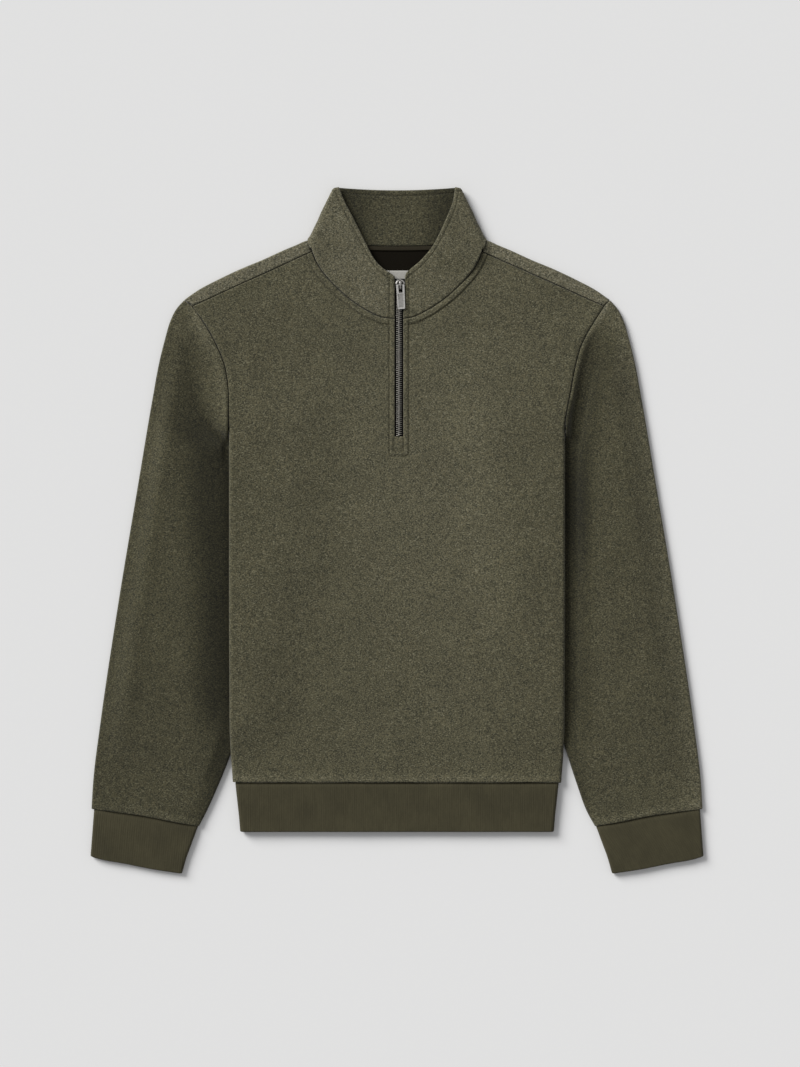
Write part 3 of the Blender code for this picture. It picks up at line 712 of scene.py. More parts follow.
def from_ends(grid, wrap):
    """Distance of each point from the grid's open ends, measured along its rows and columns."""
    up = walked(grid)
    least = np.minimum(up, up[-1] - up)
    if not wrap:
        across = walked(grid, axis=1)
        least = np.minimum(least, np.minimum(across, across[:, -1:] - across))
    return least


def closed_wall(name, outer, thickness, material, wrap=False, dips=(0.0, 0.0), painted_shading=()):
    """Cloth with two worked faces: the outer grid, and the same grid a thickness further in along its
    normals. Both fall in towards the middle of the wall round the open ends, so that the edges are
    round. The dips are how far the outer and the inner face sink, as along stitching, and the painted
    shading is the painted light and shade of both faces."""
    normal = grid_normals(outer, wrap)
    ends = from_ends(outer, wrap)
    fall = roll(ends, thickness / 2)
    dips = [dip * eased(ends / 2) for dip in dips]
    depths = (fall + dips[0], thickness - fall - dips[1])
    faces = [outer - normal * depth[..., None] for depth in depths]
    painted_shading = [np.broadcast_to(nap, outer.shape[:2]) for nap in painted_shading]
    if wrap:
        faces = [np.concatenate([face, face[:, :1]], axis=1) for face in faces]
        painted_shading = [np.concatenate([nap, nap[:, :1]], axis=1) for nap in painted_shading]
    faces[1] = faces[1][:, ::-1]
    painted_shading[1:] = [nap[:, ::-1] for nap in painted_shading[1:]]
    return mesh_piece(name, faces, material, painted_shading)


def stitches(name, paths, material, length=2.5, pitch=3.3, width=0.75, height=0.35):
    """Topstitching: along each path of (x, y, z) points, one elongated half-sunk ellipsoid per
    stitch."""
    turns = np.linspace(0, 2 * math.pi, 6, endpoint=False)
    ring = plan_of(np.cos(turns) * width / 2, np.sin(turns) * height / 2)
    stations = np.linspace(-1, 1, 5)
    girth = np.sqrt(1 - stations**2)
    grids = []
    for path in paths:
        count = max(int(walked(path)[-1] // pitch), 1)
        middle = resampled(path, (np.arange(count) + 0.5) / count)
        along = unit(resampled(path, (np.arange(count) + 0.52) / count) - middle)
        aside = unit(np.cross(along, [0, 0, 1.0]))
        upward = np.cross(aside, along)
        for k in range(count):
            spine = middle[k] + stations[:, None] * along[k] * length / 2
            cross = ring[:, :1] * aside[k] + ring[:, 1:] * upward[k]
            grid = spine[:, None] + girth[:, None, None] * cross[None]
            grids.append(np.concatenate([grid, grid[:, :1]], axis=1)[:, ::-1])
    return mesh_piece(name, grids, material, uv=False)


# ---------------------------------------------------------------- cloth pieces


def recut_body(plan):
    """A front's rows cut alike: close together at the folded side and beside the zip and neck."""
    return recut(plan, cuts(lengths(plan), SIDE_CUTS, SEAM_CUTS, 46))


def front_rows():
    """Heights of the rows below the slit's end: close together at the hem and round the zip's
    end."""
    hem = HEM_SEAM + np.array(EDGE)
    middle = np.linspace(hem[-1], 84.0, 78)[1:]
    return np.concatenate([hem, middle, np.linspace(84.0, SLIT_END, 22)[1:]])


def front_lower(side):
    """Half of the front below the slit's end, as (out, y) rows from the folded side to the slit's
    line."""
    y = front_rows()
    plan = recut_body(np.stack([plan_of(side_fold(y), y), plan_of(slit_out(side, y), y)], axis=1))
    plan[..., 1] += hem_wobble(side.sign * plan[..., 0], plan[..., 1])
    return plan


def front_upper(side):
    """Half of the front from the slit's end up to the shoulder and neck seams, as (out, y)."""
    neck_edge = neck(side, NECK_AT_SHOULDER_SEAM, even(90))
    slit_y = np.linspace(SLIT_END, NECK_AT_SLIT, 60)
    inner = np.concatenate([plan_of(slit_out(side, slit_y), slit_y)[:-1], neck_edge])
    along = walked(inner)
    corner = along[59] / along[-1]
    below_neck = np.array([13.5, 10.5, 8.8, 8.0, 7.2, 6.4, 5.4, 4.0, 2.6, 1.6, 0.8, 0])
    near = corner - below_neck / along[-1]
    low = np.linspace(0, near[0], 26)[:-1]
    high = np.linspace(corner, 1 - EDGE[-1] / 200, 38)[1:]
    rows = np.concatenate([low, near, high, 1 - np.array(EDGE[-2::-1]) / 200])
    edge = body_edge(side)
    seam = resampled(edge[edge[:, 1] >= UNDERARM - 1e-6], rows)
    start = resampled([seam[0], inner[0]], even(240))
    end = resampled([seam[-1], inner[-1]], even(240))
    plan = patch(start, end, seam, resampled(inner, rows), rows)
    return recut_body(plan)


def front_flap(side, low):
    """The front's folded side and the flap under it, from the side seam to the outer face's first
    column."""
    y, top = low[:, :1, 1], low[:, :1, 2]
    centre = side_fold(y) - FOLD_RADIUS
    bottom = turned_under_base(side, centre, y)
    fold_z = bottom + (top - bottom) * (1 - np.sin(QUARTER))
    fold = lifted(plan_of(centre + FOLD_RADIUS * np.cos(QUARTER), y), fold_z)
    flap_out = FLAP_EDGE + (centre - FLAP_EDGE) * even(12)[:-1]
    flap = lifted(plan_of(flap_out, y), turned_under_base(side, flap_out, y))
    return np.concatenate([flap, fold[:, ::-1]], axis=1)


def front_bridge():
    """The strip between the two halves below the slit's end, whose height eases from one to the
    other."""
    x = np.linspace(ZIP_X - SLIT_HALF, ZIP_X + SLIT_HALF, 11)
    plan = plan_of(x[None], front_rows()[:, None])
    plan[..., 1] += hem_wobble(plan[..., 0], plan[..., 1])
    left, right = (front_height(side, plan * [side.sign, 1]) for side in SIDES)
    share = eased((x - x[0]) / (x[-1] - x[0]))
    # the bridge takes the right half's painted light and shade
    return lifted(plan, left * (1 - share) + right * share), body_painted_shading(RIGHT, plan)


def make_front(sizes, looks):
    """Both halves of the front, each with its turned-under side, and the strip that joins them."""
    grids, painted_shading = [], []
    for side in SIDES:
        plans = (front_lower(side), front_upper(side))
        low, high = (lifted(plan, front_height(side, plan)) for plan in plans)
        grids += [on_side(grid, side) for grid in (front_flap(side, low), low, high)]
        # painted shading: the turned-under flap painted a little darker, then the body's painted light
        # and shade
        painted_shading += [0.8, *(in_order(body_painted_shading(side, plan), side) for plan in plans)]
    grid, nap = front_bridge()
    front = mesh_piece("front_panel", [*grids, grid], looks["fleece"], [*painted_shading, nap])
    piece = wall(front, sizes.fleece * 1000 - 0.5, looks["inside"])
    finish(piece, "body_front")


def back_half(side):
    """Half of the back's outer face up to the shoulder fold, and its strip over the shoulder to the
    forward shoulder seam."""
    edge = body_edge(side)
    edge[:, 0] -= (FOLD_RADIUS + 0.3) * (1 - eased((edge[:, 1] - UNDERARM + 6) / 20))
    shoulder = spline(SHOULDER_FOLD, even(60))[::-1] - [0, SHOULDER_RADIUS]
    lean = np.subtract(SHOULDER_POINT, on_this(side, ARMHOLE)[-1])
    shoulder[0, 0] -= SHOULDER_RADIUS * lean[0] / lean[1]
    neck_out = shoulder[-1, 0] * (1 - even(24))
    neck_y = BACK_SEAM_Y + (shoulder[-1, 1] - BACK_SEAM_Y) * (neck_out / neck_out[0]) ** 2
    top = np.concatenate([shoulder, plan_of(neck_out, neck_y)[1:]])
    rows = even(70)
    bottom = resampled([(edge[0, 0], HEM_SEAM), (0, HEM_SEAM)], even(83))
    middle = resampled([(0, HEM_SEAM), top[-1]], rows)
    plan = patch(bottom, top, resampled(np.concatenate([edge, shoulder[:1]]), rows), middle, rows)
    inside_edge = plan[:, :1, 0] - 0.5 * np.arange(plan.shape[1])
    plan[..., 0] = np.minimum(plan[..., 0], inside_edge)
    main = lifted(plan, back_base(side, plan[..., 0], plan[..., 1]))
    cosines, sines = arc(10)
    turn = lifted(np.repeat(shoulder[None], 11, axis=0), SHOULDER_RADIUS * (1 + sines[::-1, None]))
    turn[..., 1] += SHOULDER_RADIUS * cosines[::-1, None]
    turn[:, 0, 0] += SHOULDER_RADIUS * cosines[::-1] * lean[0] / lean[1]
    seam = offset(resampled(shoulder_line(side), even(60)), -0.45)
    down = cuts([16.0], (0,), EDGE[:6], 9)[0][:, None, None]
    strip = shoulder[None] * (1 - down) + seam[None] * down
    bent = 0.6 + out_at(strip[:, -1, 1], neck(side, NECK_TOP, even(80))) - strip[:, -1, 0]
    strip[..., 0] += bent[:, None] * eased((even(60) - 0.8) / 0.2)
    from_seam = distance(strip, shoulder_line(side)) - 0.45
    outer_end = np.linalg.norm(strip - strip[:, :1], axis=-1)
    soft = waved(side.sign * strip[..., 0], strip[..., 1]) * 0.5 * eased(from_seam / 8)
    relief = neck_relief(side, strip, np.maximum(from_seam, 0)) - roll(outer_end, 1.4) + soft
    relief -= STITCH_DIP * stitched(side, strip)
    from_fold = np.linalg.norm(strip - strip[:1], axis=-1)
    on_top = lifted(strip, SHOULDER_TOP + relief * eased((from_fold - 0.1) / 2.5))
    return main, turn, on_top


def make_back(sizes, looks):
    """Both halves of the back, with their strips over the shoulders."""
    grids, painted_shading = [], []
    for side in SIDES:
        main, turn, strip = back_half(side)
        grids += [on_side(grid[:, ::-1], side) for grid in (main, turn, strip)]
        # painted light on the strip over the shoulder, with painted shade in its stitching's grooves
        painted_light_and_shade = 1.3 * (1 - STITCH_SHADE * stitched(side, strip[..., :2]))
        # the back's main part painted a little darker, its fold over the shoulder painted lighter as
        # painted light
        painted_shading += [0.9, 1.2, in_order(painted_light_and_shade[:, ::-1], side)]
    back = mesh_piece("back_panel", grids, looks["fleece"], painted_shading)
    piece = wall(back, sizes.fleece * 1000 - 0.1, looks["inside"])
    finish(piece, "body_back")


def tube(plan, top, bottom, round_top):
    """Closes a flattened tube over its plan: the top face from the outer to the inner edge, then
    the bottom face back. round_top is how far up the rounded edge each column lies, 0 at the edge
    and 1 inside."""
    middle = (top + bottom) / 2
    upper = lifted(plan, middle + (top - middle) * round_top)
    lower = lifted(plan, middle - (middle - bottom) * round_top)
    return np.concatenate([upper, lower[:, -2:0:-1]], axis=1)


def tube_columns(widths, radius, between):
    """Fractions across a flattened tube, close together round its two edges, and the sine of each
    edge column's turn."""
    ends = radius * (1 - np.cos(QUARTER)) / widths[:, None]
    fractions = np.concatenate([ends, between, 1 - ends[:, ::-1]], axis=1)
    heights = np.concatenate([np.sin(QUARTER), np.ones(between.shape[1]), np.sin(QUARTER[::-1])])
    return fractions, heights


def sleeve_plan(side):
    """The sleeve's plan, rows from the cuff seam to the armhole, cut finely beside the body. With
    it come each row's distance from the armhole, the columns' fractions, the rows' lengths and how
    the edges round."""
    seam = spline([SHOULDER_POINT, *on_this(side, ARMHOLE)[::-1]], even(120))
    inner_end = on_this(side, SLEEVE_INNER)[:1]
    opening = np.concatenate([offset(seam, 0.4), UNDER_SEAM, inner_end])
    opening = resampled(opening, even(401))
    away = np.array(EDGE[::-1])
    near_cuff = SLEEVE_LENGTH - away[::-1]
    middle = np.linspace(SLEEVE_LENGTH - 13, 18, 96)[1:-1]
    from_seam = np.concatenate([near_cuff, middle, away[:1] + 5, away])
    rows = 1 - from_seam / SLEEVE_LENGTH
    outer = spline([opening[0], *SLEEVE_OUTER[1:]], 1 - rows)
    inner = spline(on_this(side, SLEEVE_INNER), 1 - rows)
    plan = patch(spline(SLEEVE_END, even(401)), opening, outer, inner, rows)
    widths = lengths(plan)
    tucked = (plan[..., 0] < side_fold(plan[..., 1]) + 0.9) & (plan[..., 1] < TUCK_Y + 1)
    tuck = np.where(tucked.any(axis=1), tucked.argmax(axis=1) / 400, 1.0)
    tuck = np.minimum(tuck, 1 - 3 * SLEEVE_TOP / widths)
    beside = np.array(BESIDE_BODY)
    close = tuck[:, None] - beside / widths[:, None]
    first = SLEEVE_TOP / widths[:, None]
    start = np.maximum(close[:, :1], first + 0.05)
    close = np.maximum(close, start + np.arange(len(beside)) * 1e-4)
    free = first + (start - first) * even(22)[:-1]
    between = np.concatenate([free, close], axis=1)
    fractions, round_top = tube_columns(widths, SLEEVE_TOP / 2, between)
    return recut(plan, fractions), from_seam, fractions, widths, round_top


class Sleeve(NamedTuple):
    """How one sleeve lies beside the body: the width of its valley and how much of that is level,
    how high its crown stands, over what width it rises from the outer edge, and where the ridge
    along its armhole fades out."""

    valley_width: float
    level_width: float
    crown: float
    rise: float
    ridge_end: float


SLEEVES = {
    "left": Sleeve(54.0, -1.0, 11.0, 34.0, 100.0),
    "right": Sleeve(26.0, 13.0, 7.5, 44.0, 135.0),
}


def sleeve_painted_shading(side, y, from_body, from_outer, filled):
    """The sleeve's painted light and shade: painted shade in the valley beside the body, which is wide
    on the left and narrow on the right, and along the left's outer edge, with the sleeve darker
    overall than the body, the left more. The second value is how much lighter the right's outer edge
    is painted, as painted light."""
    if side.sign < 0:
        # painted shade in the valley beside the body
        valley_painted_shade = 0.58 * (1 - eased((from_body - 16 - 12 * eased((y + 80) / 140)) / 46))
        valley_painted_shade = valley_painted_shade * (1 - 0.65 * eased((y - 105) / 60))
        # painted shade along the left's outer edge
        edge_painted_shading = -0.18 * (1 - eased((from_outer - 15) / 50)) * eased((110 - y) / 80)
        return 0.64 * (1 - valley_painted_shade * (1 - 0.8 * filled)) * (1 + edge_painted_shading), 0.0
    valley_painted_shade = (0.45 + 0.3 * bell((y - 28) / 75)) * (1 - eased((from_body - 7) / 22))
    return 0.72 * (1 - valley_painted_shade * (1 - 0.8 * filled)), 0.30 * (1 - eased(from_outer / 40))


def sleeve_ring(side):
    """The sleeve's outer face as a closed ring of columns: flattened where it is tucked under the
    body, level with the body at the armhole seam, and fuller in its free middle. With it comes its
    painted light and shade at each point."""
    plan, from_seam, fractions, widths, round_top = sleeve_plan(side)
    lie = SLEEVES[side.name]
    out, y = plan[..., 0], plan[..., 1]
    seam_away = from_seam[:, None]
    cuff_away = SLEEVE_LENGTH - seam_away
    from_outer = fractions * widths[:, None]
    from_inner = (1 - fractions) * widths[:, None]
    table = on_this(side, SLEEVE_VALLEY)[::-1]
    valley = np.where(y < table[0, 1], side_fold(y), out_at(y, table))
    from_body = out - valley - lie.level_width
    trough = 1 - (1 - np.clip(from_body / lie.valley_width, 0, 1)) ** 2.2
    filled = np.maximum(eased((-y - 205) / 60) * eased(from_inner / 30), eased((y - 205) / 45))
    trough = trough + (1 - trough) * filled
    crown = lie.crown * (1 - 0.5 * eased((-y - 120) / 180)) * (1 - 0.7 * eased((y - 170) / 80))
    crown = crown * eased(from_outer / lie.rise) * trough * eased(from_inner / 22)
    crown = crown * (0.35 + 0.65 * eased((cuff_away - 40) / 40)) * eased((seam_away - 4) / 30)
    visible = out > side_fold(y) + 0.3
    level = front_base(side, out, y) - SLEEVE_TOP
    seam_out = out_at(y, on_this(side, ARMHOLE))
    up_to_seam = eased(1 - (out - seam_out - 2) / np.maximum(valley - seam_out - 2, 8.0))
    beside_seam = up_to_seam * visible * eased((y - TUCK_Y - 1) / 15)
    above_tuck = eased((y - lie.ridge_end) / 30)
    ridge = 1.4 * bell((seam_away - 5.5) / 4.5) * visible * above_tuck * eased((262 - y) / 40)
    bottom = 8.3 * over_tuck(y) * beside_seam
    soft = waved(side.sign * out + 300, y) * 0.8 + creased(side.sign * out, y, SLEEVE_CREASES)
    soft = soft * eased(from_outer / 30) * eased(from_body / 20) * eased(from_inner / 25)
    soft = soft * eased((seam_away - 12) / 30) * eased(cuff_away / 18)
    hem_lip = 0.7 * bell((cuff_away - 4) / 4)
    top = SLEEVE_TOP + np.maximum(level, 0) * beside_seam + crown + ridge + soft + hem_lip
    # painted light and shade: the valley and edges, then painted light on the ridge beside the armhole
    # seam and towards the shoulder, and a painted highlight on the lip at the cuff
    nap, edge_painted_shading = sleeve_painted_shading(side, y, from_body, from_outer, filled)
    nap = nap + 0.34 * beside_seam * above_tuck + 0.10 * eased((y - 190) / 50)
    nap = nap * (1 + 0.16 * (1 - eased((cuff_away - 7) / 4))) * (1 + edge_painted_shading)
    return tube(plan, top, bottom, round_top), np.concatenate([nap, nap[:, -2:0:-1]], axis=1)


def make_sleeves(sizes, looks):
    """Both sleeves: flattened tubes of fleece."""
    for side in SIDES:
        ring, nap = sleeve_ring(side)
        name, ring = f"sleeve_{side.name}_cloth", on_side(ring, side)
        cloth = (name, ring, sizes.fleece * 1000, looks["fleece"])
        # the inner face painted dark: painted shade inside the sleeve
        piece = closed_wall(*cloth, wrap=True, painted_shading=(in_order(nap, side), 0.3))
        finish(piece, f"sleeve_{side.name}")


def make_cuffs(sizes, looks):
    """Both cuffs: flattened tubes of rib, whose tops reach into the sleeves."""
    rows = cuts([56.0], EDGE[:7], EDGE[:7], 14)[0]
    for side in SIDES:
        outer = resampled(CUFF_OUTER, 1 - rows)
        inner = spline(CUFF_INNER, 1 - rows)
        lower, upper = spline(CUFF_BOTTOM, even(121)), spline(CUFF_TOP, even(121))
        plan = patch(lower, upper, outer, inner, rows)
        widths = lengths(plan)
        between = np.repeat(np.linspace(0.045, 0.955, 42)[None], len(rows), axis=0)
        fractions, round_top = tube_columns(widths, CUFF_TOP_HEIGHT / 2, between)
        plan = recut(plan, fractions)
        from_top = np.linalg.norm(plan - plan[-1:], axis=-1)
        into_sleeve = unit(plan[-1:] - plan[-3:-2])
        plan = plan + CUFF_OVERLAP * into_sleeve * (1 - eased(from_top / 8))[..., None]
        top = CUFF_TOP_HEIGHT - 1.5 * (1 - eased(from_top / 5))
        top += 0.35 * waved(plan[..., 0] * 2, plan[..., 1] * 2)
        ring = on_side(tube(plan, top, np.zeros(top.shape), round_top), side)
        cloth = (f"cuff_{side.name}_rib", ring, sizes.rib * 1000, looks["cuff rib"])
        piece = closed_wall(*cloth, wrap=True)
        finish(piece, f"cuff_{side.name}")


def make_band(sizes, looks):
    """The hem band: a flattened tube of rib."""
    rows = cuts([BAND_TOP - HEM_EDGE], EDGE[:7], EDGE[:7], 14)[0]
    y = HEM_EDGE + (BAND_TOP - HEM_EDGE) * rows
    half = np.interp(y, *np.transpose(BAND_SIDE))
    between = np.repeat(even(90)[None, 1:-1], len(rows), axis=0)
    fractions, round_top = tube_columns(2 * half, FOLD_RADIUS, between)
    x, y = half[:, None] * (2 * fractions - 1), y[:, None]
    plan = plan_of(x, y)
    top = FRONT_TOP - 1.6 * (1 - eased((BAND_TOP - y) / 5)) + 0.5 * waved(x, y * 1.5)
    ring = tube(plan, top, np.zeros(top.shape), round_top)
    piece = closed_wall("hem_band_rib", ring, sizes.rib * 1000, looks["band rib"], wrap=True)
    finish(piece, "hem_band")


def collar_half(side, rows):
    """Half of the collar's outer face: the leaf from the zip's edge to the side fold, a half turn
    round the fold, and the inner back from there to the middle."""
    radius = COLLAR_FOLD_TOP / 2
    foot = offset(neck(side, NECK_AT_SHOULDER_SEAM + 3, even(200)), 0.4)[::-1]
    fold = spline(COLLAR_FOLD, even(rows))
    inset = fold - [radius, 0]
    inset += (foot[0] - inset[0]) * (1 - even(rows)[:, None]) ** 2
    slit_y = np.linspace(NECK_AT_SLIT + 0.4, COLLAR_OPENING_END, rows)
    slit = plan_of(slit_out(side, slit_y), slit_y)
    foot[-1] = slit[0]
    opening = spline([inset[-1], *on_this(side, COLLAR_OPENING), slit[-1]], even(200))
    leaf = patch(foot, opening, inset, slit, even(rows))
    leaf = recut(leaf, cuts(lengths(leaf), (0,), SEAM_CUTS, 34))
    top = COLLAR_FOLD_TOP + (COLLAR_TOP - COLLAR_FOLD_TOP) * eased(2 * even(leaf.shape[1]))
    leaf = lifted(leaf, top)
    back_out = (fold[:, :1] - radius) * (1 - even(36))
    lower = BACK_NECK_Y + BACK_NECK_RISE * (back_out / 100) ** 2
    upper = COLLAR_TOP_Y + (fold[-1, 1] - COLLAR_TOP_Y) * (back_out / back_out[:, :1]) ** 2
    back = lifted(plan_of(back_out, lower + (upper - lower) * even(rows)[:, None]), 0.0)
    cosines, sines = arc(16)
    lean = (1 + sines) / 2
    start, end = back[:, :1, :2], inset[:, None]
    turn = start + (end - start) * lean[:, None]
    turn[..., 0] += radius * cosines
    turn[..., 1] += (fold[:, 1:2] - (start[..., 1] + end[..., 1]) / 2) * cosines**2
    turn = lifted(turn, radius * (1 + sines))
    return np.concatenate([leaf[:, ::-1], turn[:, 1:], back[:, 1:]], axis=1)


def collar_outer():
    """The collar's whole outer face, rows from the neck seam to the top edge, cut finely at the
    stitching."""
    left, right = (on_side(collar_half(side, 70), side)[:, ::-1] for side in SIDES)
    grid = np.concatenate([right, left[:, 1:]], axis=1).swapaxes(0, 1)
    return recut(grid, cuts(lengths(grid), *COLLAR_ROWS, 22)).swapaxes(0, 1)


def make_collar(sizes, looks):
    """The collar with its stitched top edge and the stitching beside the zip. Its outer face is
    painted lighter, the left leaf more, as painted light, and darker in its dips, as painted shade;
    its inner face is painted darker, as painted shade, darkest beside the leaves as their painted
    shadow."""
    outer = collar_outer()
    from_foot = walked(outer)
    from_top = from_foot[-1] - from_foot
    stitching = STITCH_DIP * bell((from_top - TOP_STITCH) / STITCH_SPREAD)
    x, y = outer[..., 0], outer[..., 1]
    on_leaf = outer[..., 2] > COLLAR_TOP - 0.5
    from_line = np.abs(np.abs(x - ZIP_X) - STITCH_OUT)
    beside_zip = np.where(on_leaf & (y < 320), STITCH_DIP * bell(from_line / STITCH_SPREAD), 0)
    soft = 0.55 * waved(x * 1.6 + 40, y * 1.6) * eased(from_top / 12) * eased(from_foot / 10)
    outer_dip = stitching + beside_zip + np.where(on_leaf, -soft, 0)
    # painted shade in the dips of stitching and soft creases
    painted_light_and_shade = 1 - 0.5 * outer_dip.clip(0, 1)
    # painted light on the leaves, more on the left
    leaf_painted_shading = (1.09 - 0.055 * np.sign(x)) * painted_light_and_shade
    # painted shade on the inner face, darkest beside the leaves as their painted shadow
    inner_painted_shade = 0.56 * (0.55 + 0.6 * eased((58 - np.abs(x - 2)) / 45)) * (1 - 0.5 * stitching)
    cloth = ("collar_cloth", outer, sizes.collar * 1000, looks["fleece"])
    dips = (outer_dip, stitching + 0.4 * soft)
    piece = closed_wall(*cloth, dips=dips, painted_shading=(leaf_painted_shading, inner_painted_shade))
    finish(piece, "collar")


def make_neck_trim(sizes, looks):
    """Tape over the back neck seam and the blank label below it."""
    half, width = BACK_NECK_TAPE
    out = np.linspace(-half, half, 61)
    upper = BACK_SEAM_Y + BACK_NECK_RISE * (out / 100) ** 2
    up = cuts([width], (0, 0.3, 0.7), (0, 0.3, 0.7), 3)[0][:, None]
    plan = plan_of(out, upper - width * (1 - up))
    swell = 0.15 * bell((up - 0.5) / 0.3)
    outer = lifted(plan, TRIM_TOP + swell)
    tape = closed_wall("neck_tape_twill", outer, NECK_TAPE_THICKNESS, looks["neck tape"])
    replace(tape, "neck_tape")
    x = np.linspace(-LABEL_HALF, LABEL_HALF, 41)
    y = np.linspace(*LABEL_ENDS, 33)[:, None]
    sway = 0.25 * np.sin(x / 7.0) * eased((300 - y) / 20)
    outer = lifted(plan_of(x, y), TRIM_TOP + sway)
    label = closed_wall("neck_label_woven", outer, LABEL_THICKNESS, looks["label"])
    replace(label, "neck_label")


def line_on(side, plan, z):
    """A line of topstitching on one side, from its plan and its height."""
    return lifted(plan, z) * [side.sign, 1, 1]


def front_lines(side):
    """Lines of topstitching on one side: beside the zip, round its end and below the neck seam."""
    line, box = zip_lines(side)
    line[-1, 1] = NECK_AT_SLIT - WELT_WIDTH
    welt = offset(neck(side, 341.0, even(200)), -WELT_WIDTH)
    welt = welt[(welt[:, 0] > side.zip_out + STITCH_OUT) & (welt[:, 1] < 336)]
    plans = (resampled(line, even(120)), resampled(box, even(30)), welt)
    zip_z, box_z, welt_z = (front_height(side, plan[None])[0] for plan in plans)
    on_shoulder = SHOULDER_TOP + neck_relief(side, welt[None], 99.0)[0]
    welt_z = np.where(below_shoulder(*welt.T) > 0, welt_z, on_shoulder)
    heights = (zip_z, box_z, welt_z)
    return [line_on(side, plan, z + THREAD_RISE) for plan, z in zip(plans, heights)]


def collar_lines(thickness):
    """Lines of topstitching on the collar: below the top edge of both leaves and of the inner back,
    and beside the zip."""
    outer = collar_outer()
    from_top = walked(outer)[-1] - walked(outer)
    at = (np.abs(from_top - TOP_STITCH).argmin(axis=0), np.arange(outer.shape[1]))
    face, inward = outer[at], grid_normals(outer, False)[at]
    front = face[:, 2] > COLLAR_TOP - 0.5
    paths = []
    for half in (slice(None, len(face) // 2), slice(len(face) // 2, None)):
        line = (face - inward * 0.4)[half][front[half]]
        paths.append(line[np.abs(line[:, 0] - ZIP_X) > SLIT_HALF + 2])
    inside = face - inward * (thickness - 0.4)
    paths.append(inside[(face[:, 2] < 0.3) & (np.abs(face[:, 0]) < 66)])
    y = np.linspace(NECK_AT_SLIT + 2, COLLAR_OPENING_END + 8, 40)
    for side in SIDES:
        plan = plan_of(side.zip_out + STITCH_OUT, y)
        paths.append(line_on(side, plan, COLLAR_TOP - 0.35))
    return paths


def make_stitching(sizes, looks):
    """Lines of topstitching on the front, shoulders and collar."""
    paths = [path for side in SIDES for path in front_lines(side)]
    paths += collar_lines(sizes.collar * 1000)
    piece = stitches("topstitching", paths, looks["thread"], sizes.stitch * 1000)
    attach(piece, "garment")


def finish(piece, node):
    """A cloth piece takes its node's place on the garment."""
    replace(piece, node)


def replace(piece, node, body="garment"):
    """A piece takes its node's place and rides on its body."""
    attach(piece, body)
    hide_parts(node)


# ---------------------------------------------------------------- zip


def prism(outline, levels):
    """Rings of one outline, each scaled and lifted: a grid whose rows are the levels (scale,
    height) and whose columns go round. The first and last rows shrink to the middle, which closes
    it."""
    middle = np.mean(outline, axis=0)
    outline = np.concatenate([outline, outline[:1]])
    rings = [lifted(middle + (outline - middle) * scale, height) for scale, height in levels]
    return np.array(rings)


def rounded_rectangle(low, high, radius, steps=4):
    """A rectangle's outline, counter-clockwise, with a quarter circle at each corner."""
    low, high = np.add(low, radius), np.subtract(high, radius)
    centres = (high, (low[0], high[1]), low, (high[0], low[1]))
    turns = [np.radians(np.linspace(start, start + 90, steps + 1)) for start in (0, 90, 180, 270)]
    corners = [centre + radius * plan_of(np.cos(t), np.sin(t)) for centre, t in zip(centres, turns)]
    return np.concatenate(corners)


def make_zip(sizes, looks):
    """Tapes, two rows of interlocking teeth, slider and pull."""
    near, far = ZIP_TAPE
    for name, low, high in (("left", -far, -near), ("right", near, far)):
        plan = plan_of(ZIP_X + np.linspace(low, high, 25), np.linspace(*TAPE_ENDS, 130)[:, None])
        cloth = (f"zip_tape_{name}_weave", lifted(plan, TAPE_TOP), ZIP_TAPE_THICKNESS)
        tape = closed_wall(*cloth, looks["zip tape"])
        replace(tape, f"zip_tape_{name}")
    make_teeth(sizes.tooth_pitch * 1000, looks)
    make_slider(looks)
    make_pull(looks)


def make_teeth(pitch, looks):
    """Two rows of teeth, half a pitch apart: each a head on a wider shank, with its top edges
    sloped."""
    levels = ((0.0, 5.25), (0.9, 5.25), (1.0, 5.5), (1.0, 7.0), (0.82, 7.35), (0.0, 7.4))
    shank = [(0.25, -0.5), (3.4, -0.42), (3.4, 0.42)]
    head = [(0.25, 0.5), (-0.75, 0.36), (-0.95, 0), (-0.75, -0.36)]
    start, end = TEETH_ENDS
    teeth = []
    for row, sign in enumerate((-1, 1)):
        tooth = prism(np.array(shank + head) * sign, levels)
        for k in range(int((end - start) / pitch)):
            teeth.append(tooth + [ZIP_X, start + (k + 0.5 * row) * pitch, 0])
    chain = mesh_piece("zip_teeth_rows", teeth, looks["teeth"], uv=False)
    replace(chain, "zip_chain")


def slider_bridge():
    """The bridge over the pull's pin: a flat strap bent from the nose down to the body, widest at
    its top."""
    nose = [(-4.7, 8.9), (-4.6, 10.6), (-3.6, 11.8), (-1.6, 12.4)]
    path = spline([*nose, (1.2, 12.5), (3.2, 12.2), (4.6, 11.2), (5.2, 9.4)], even(26))
    along = unit(np.gradient(path, axis=0))
    section = rounded_rectangle((-1, -0.4), (1, 0.4), 0.3, 3)
    section = np.concatenate([section, section[:1]])
    half_width = np.interp(path[:, :1], (-4.7, -1.0, 3.0, 5.2), (0.7, 0.95, 1.45, 1.0))
    x = PIVOT[0] + section[:, 0] * half_width
    y = PIVOT[1] + path[:, :1] + along[:, 1:] * section[:, 1]
    z = path[:, 1:] - along[:, :1] * section[:, 1]
    bridge = lifted(plan_of(x, y), z)
    start, end = (ring + 0 * bridge[:1] for ring in bridge[[0, -1]].mean(axis=1))
    return np.concatenate([start, bridge, end])[:, ::-1]


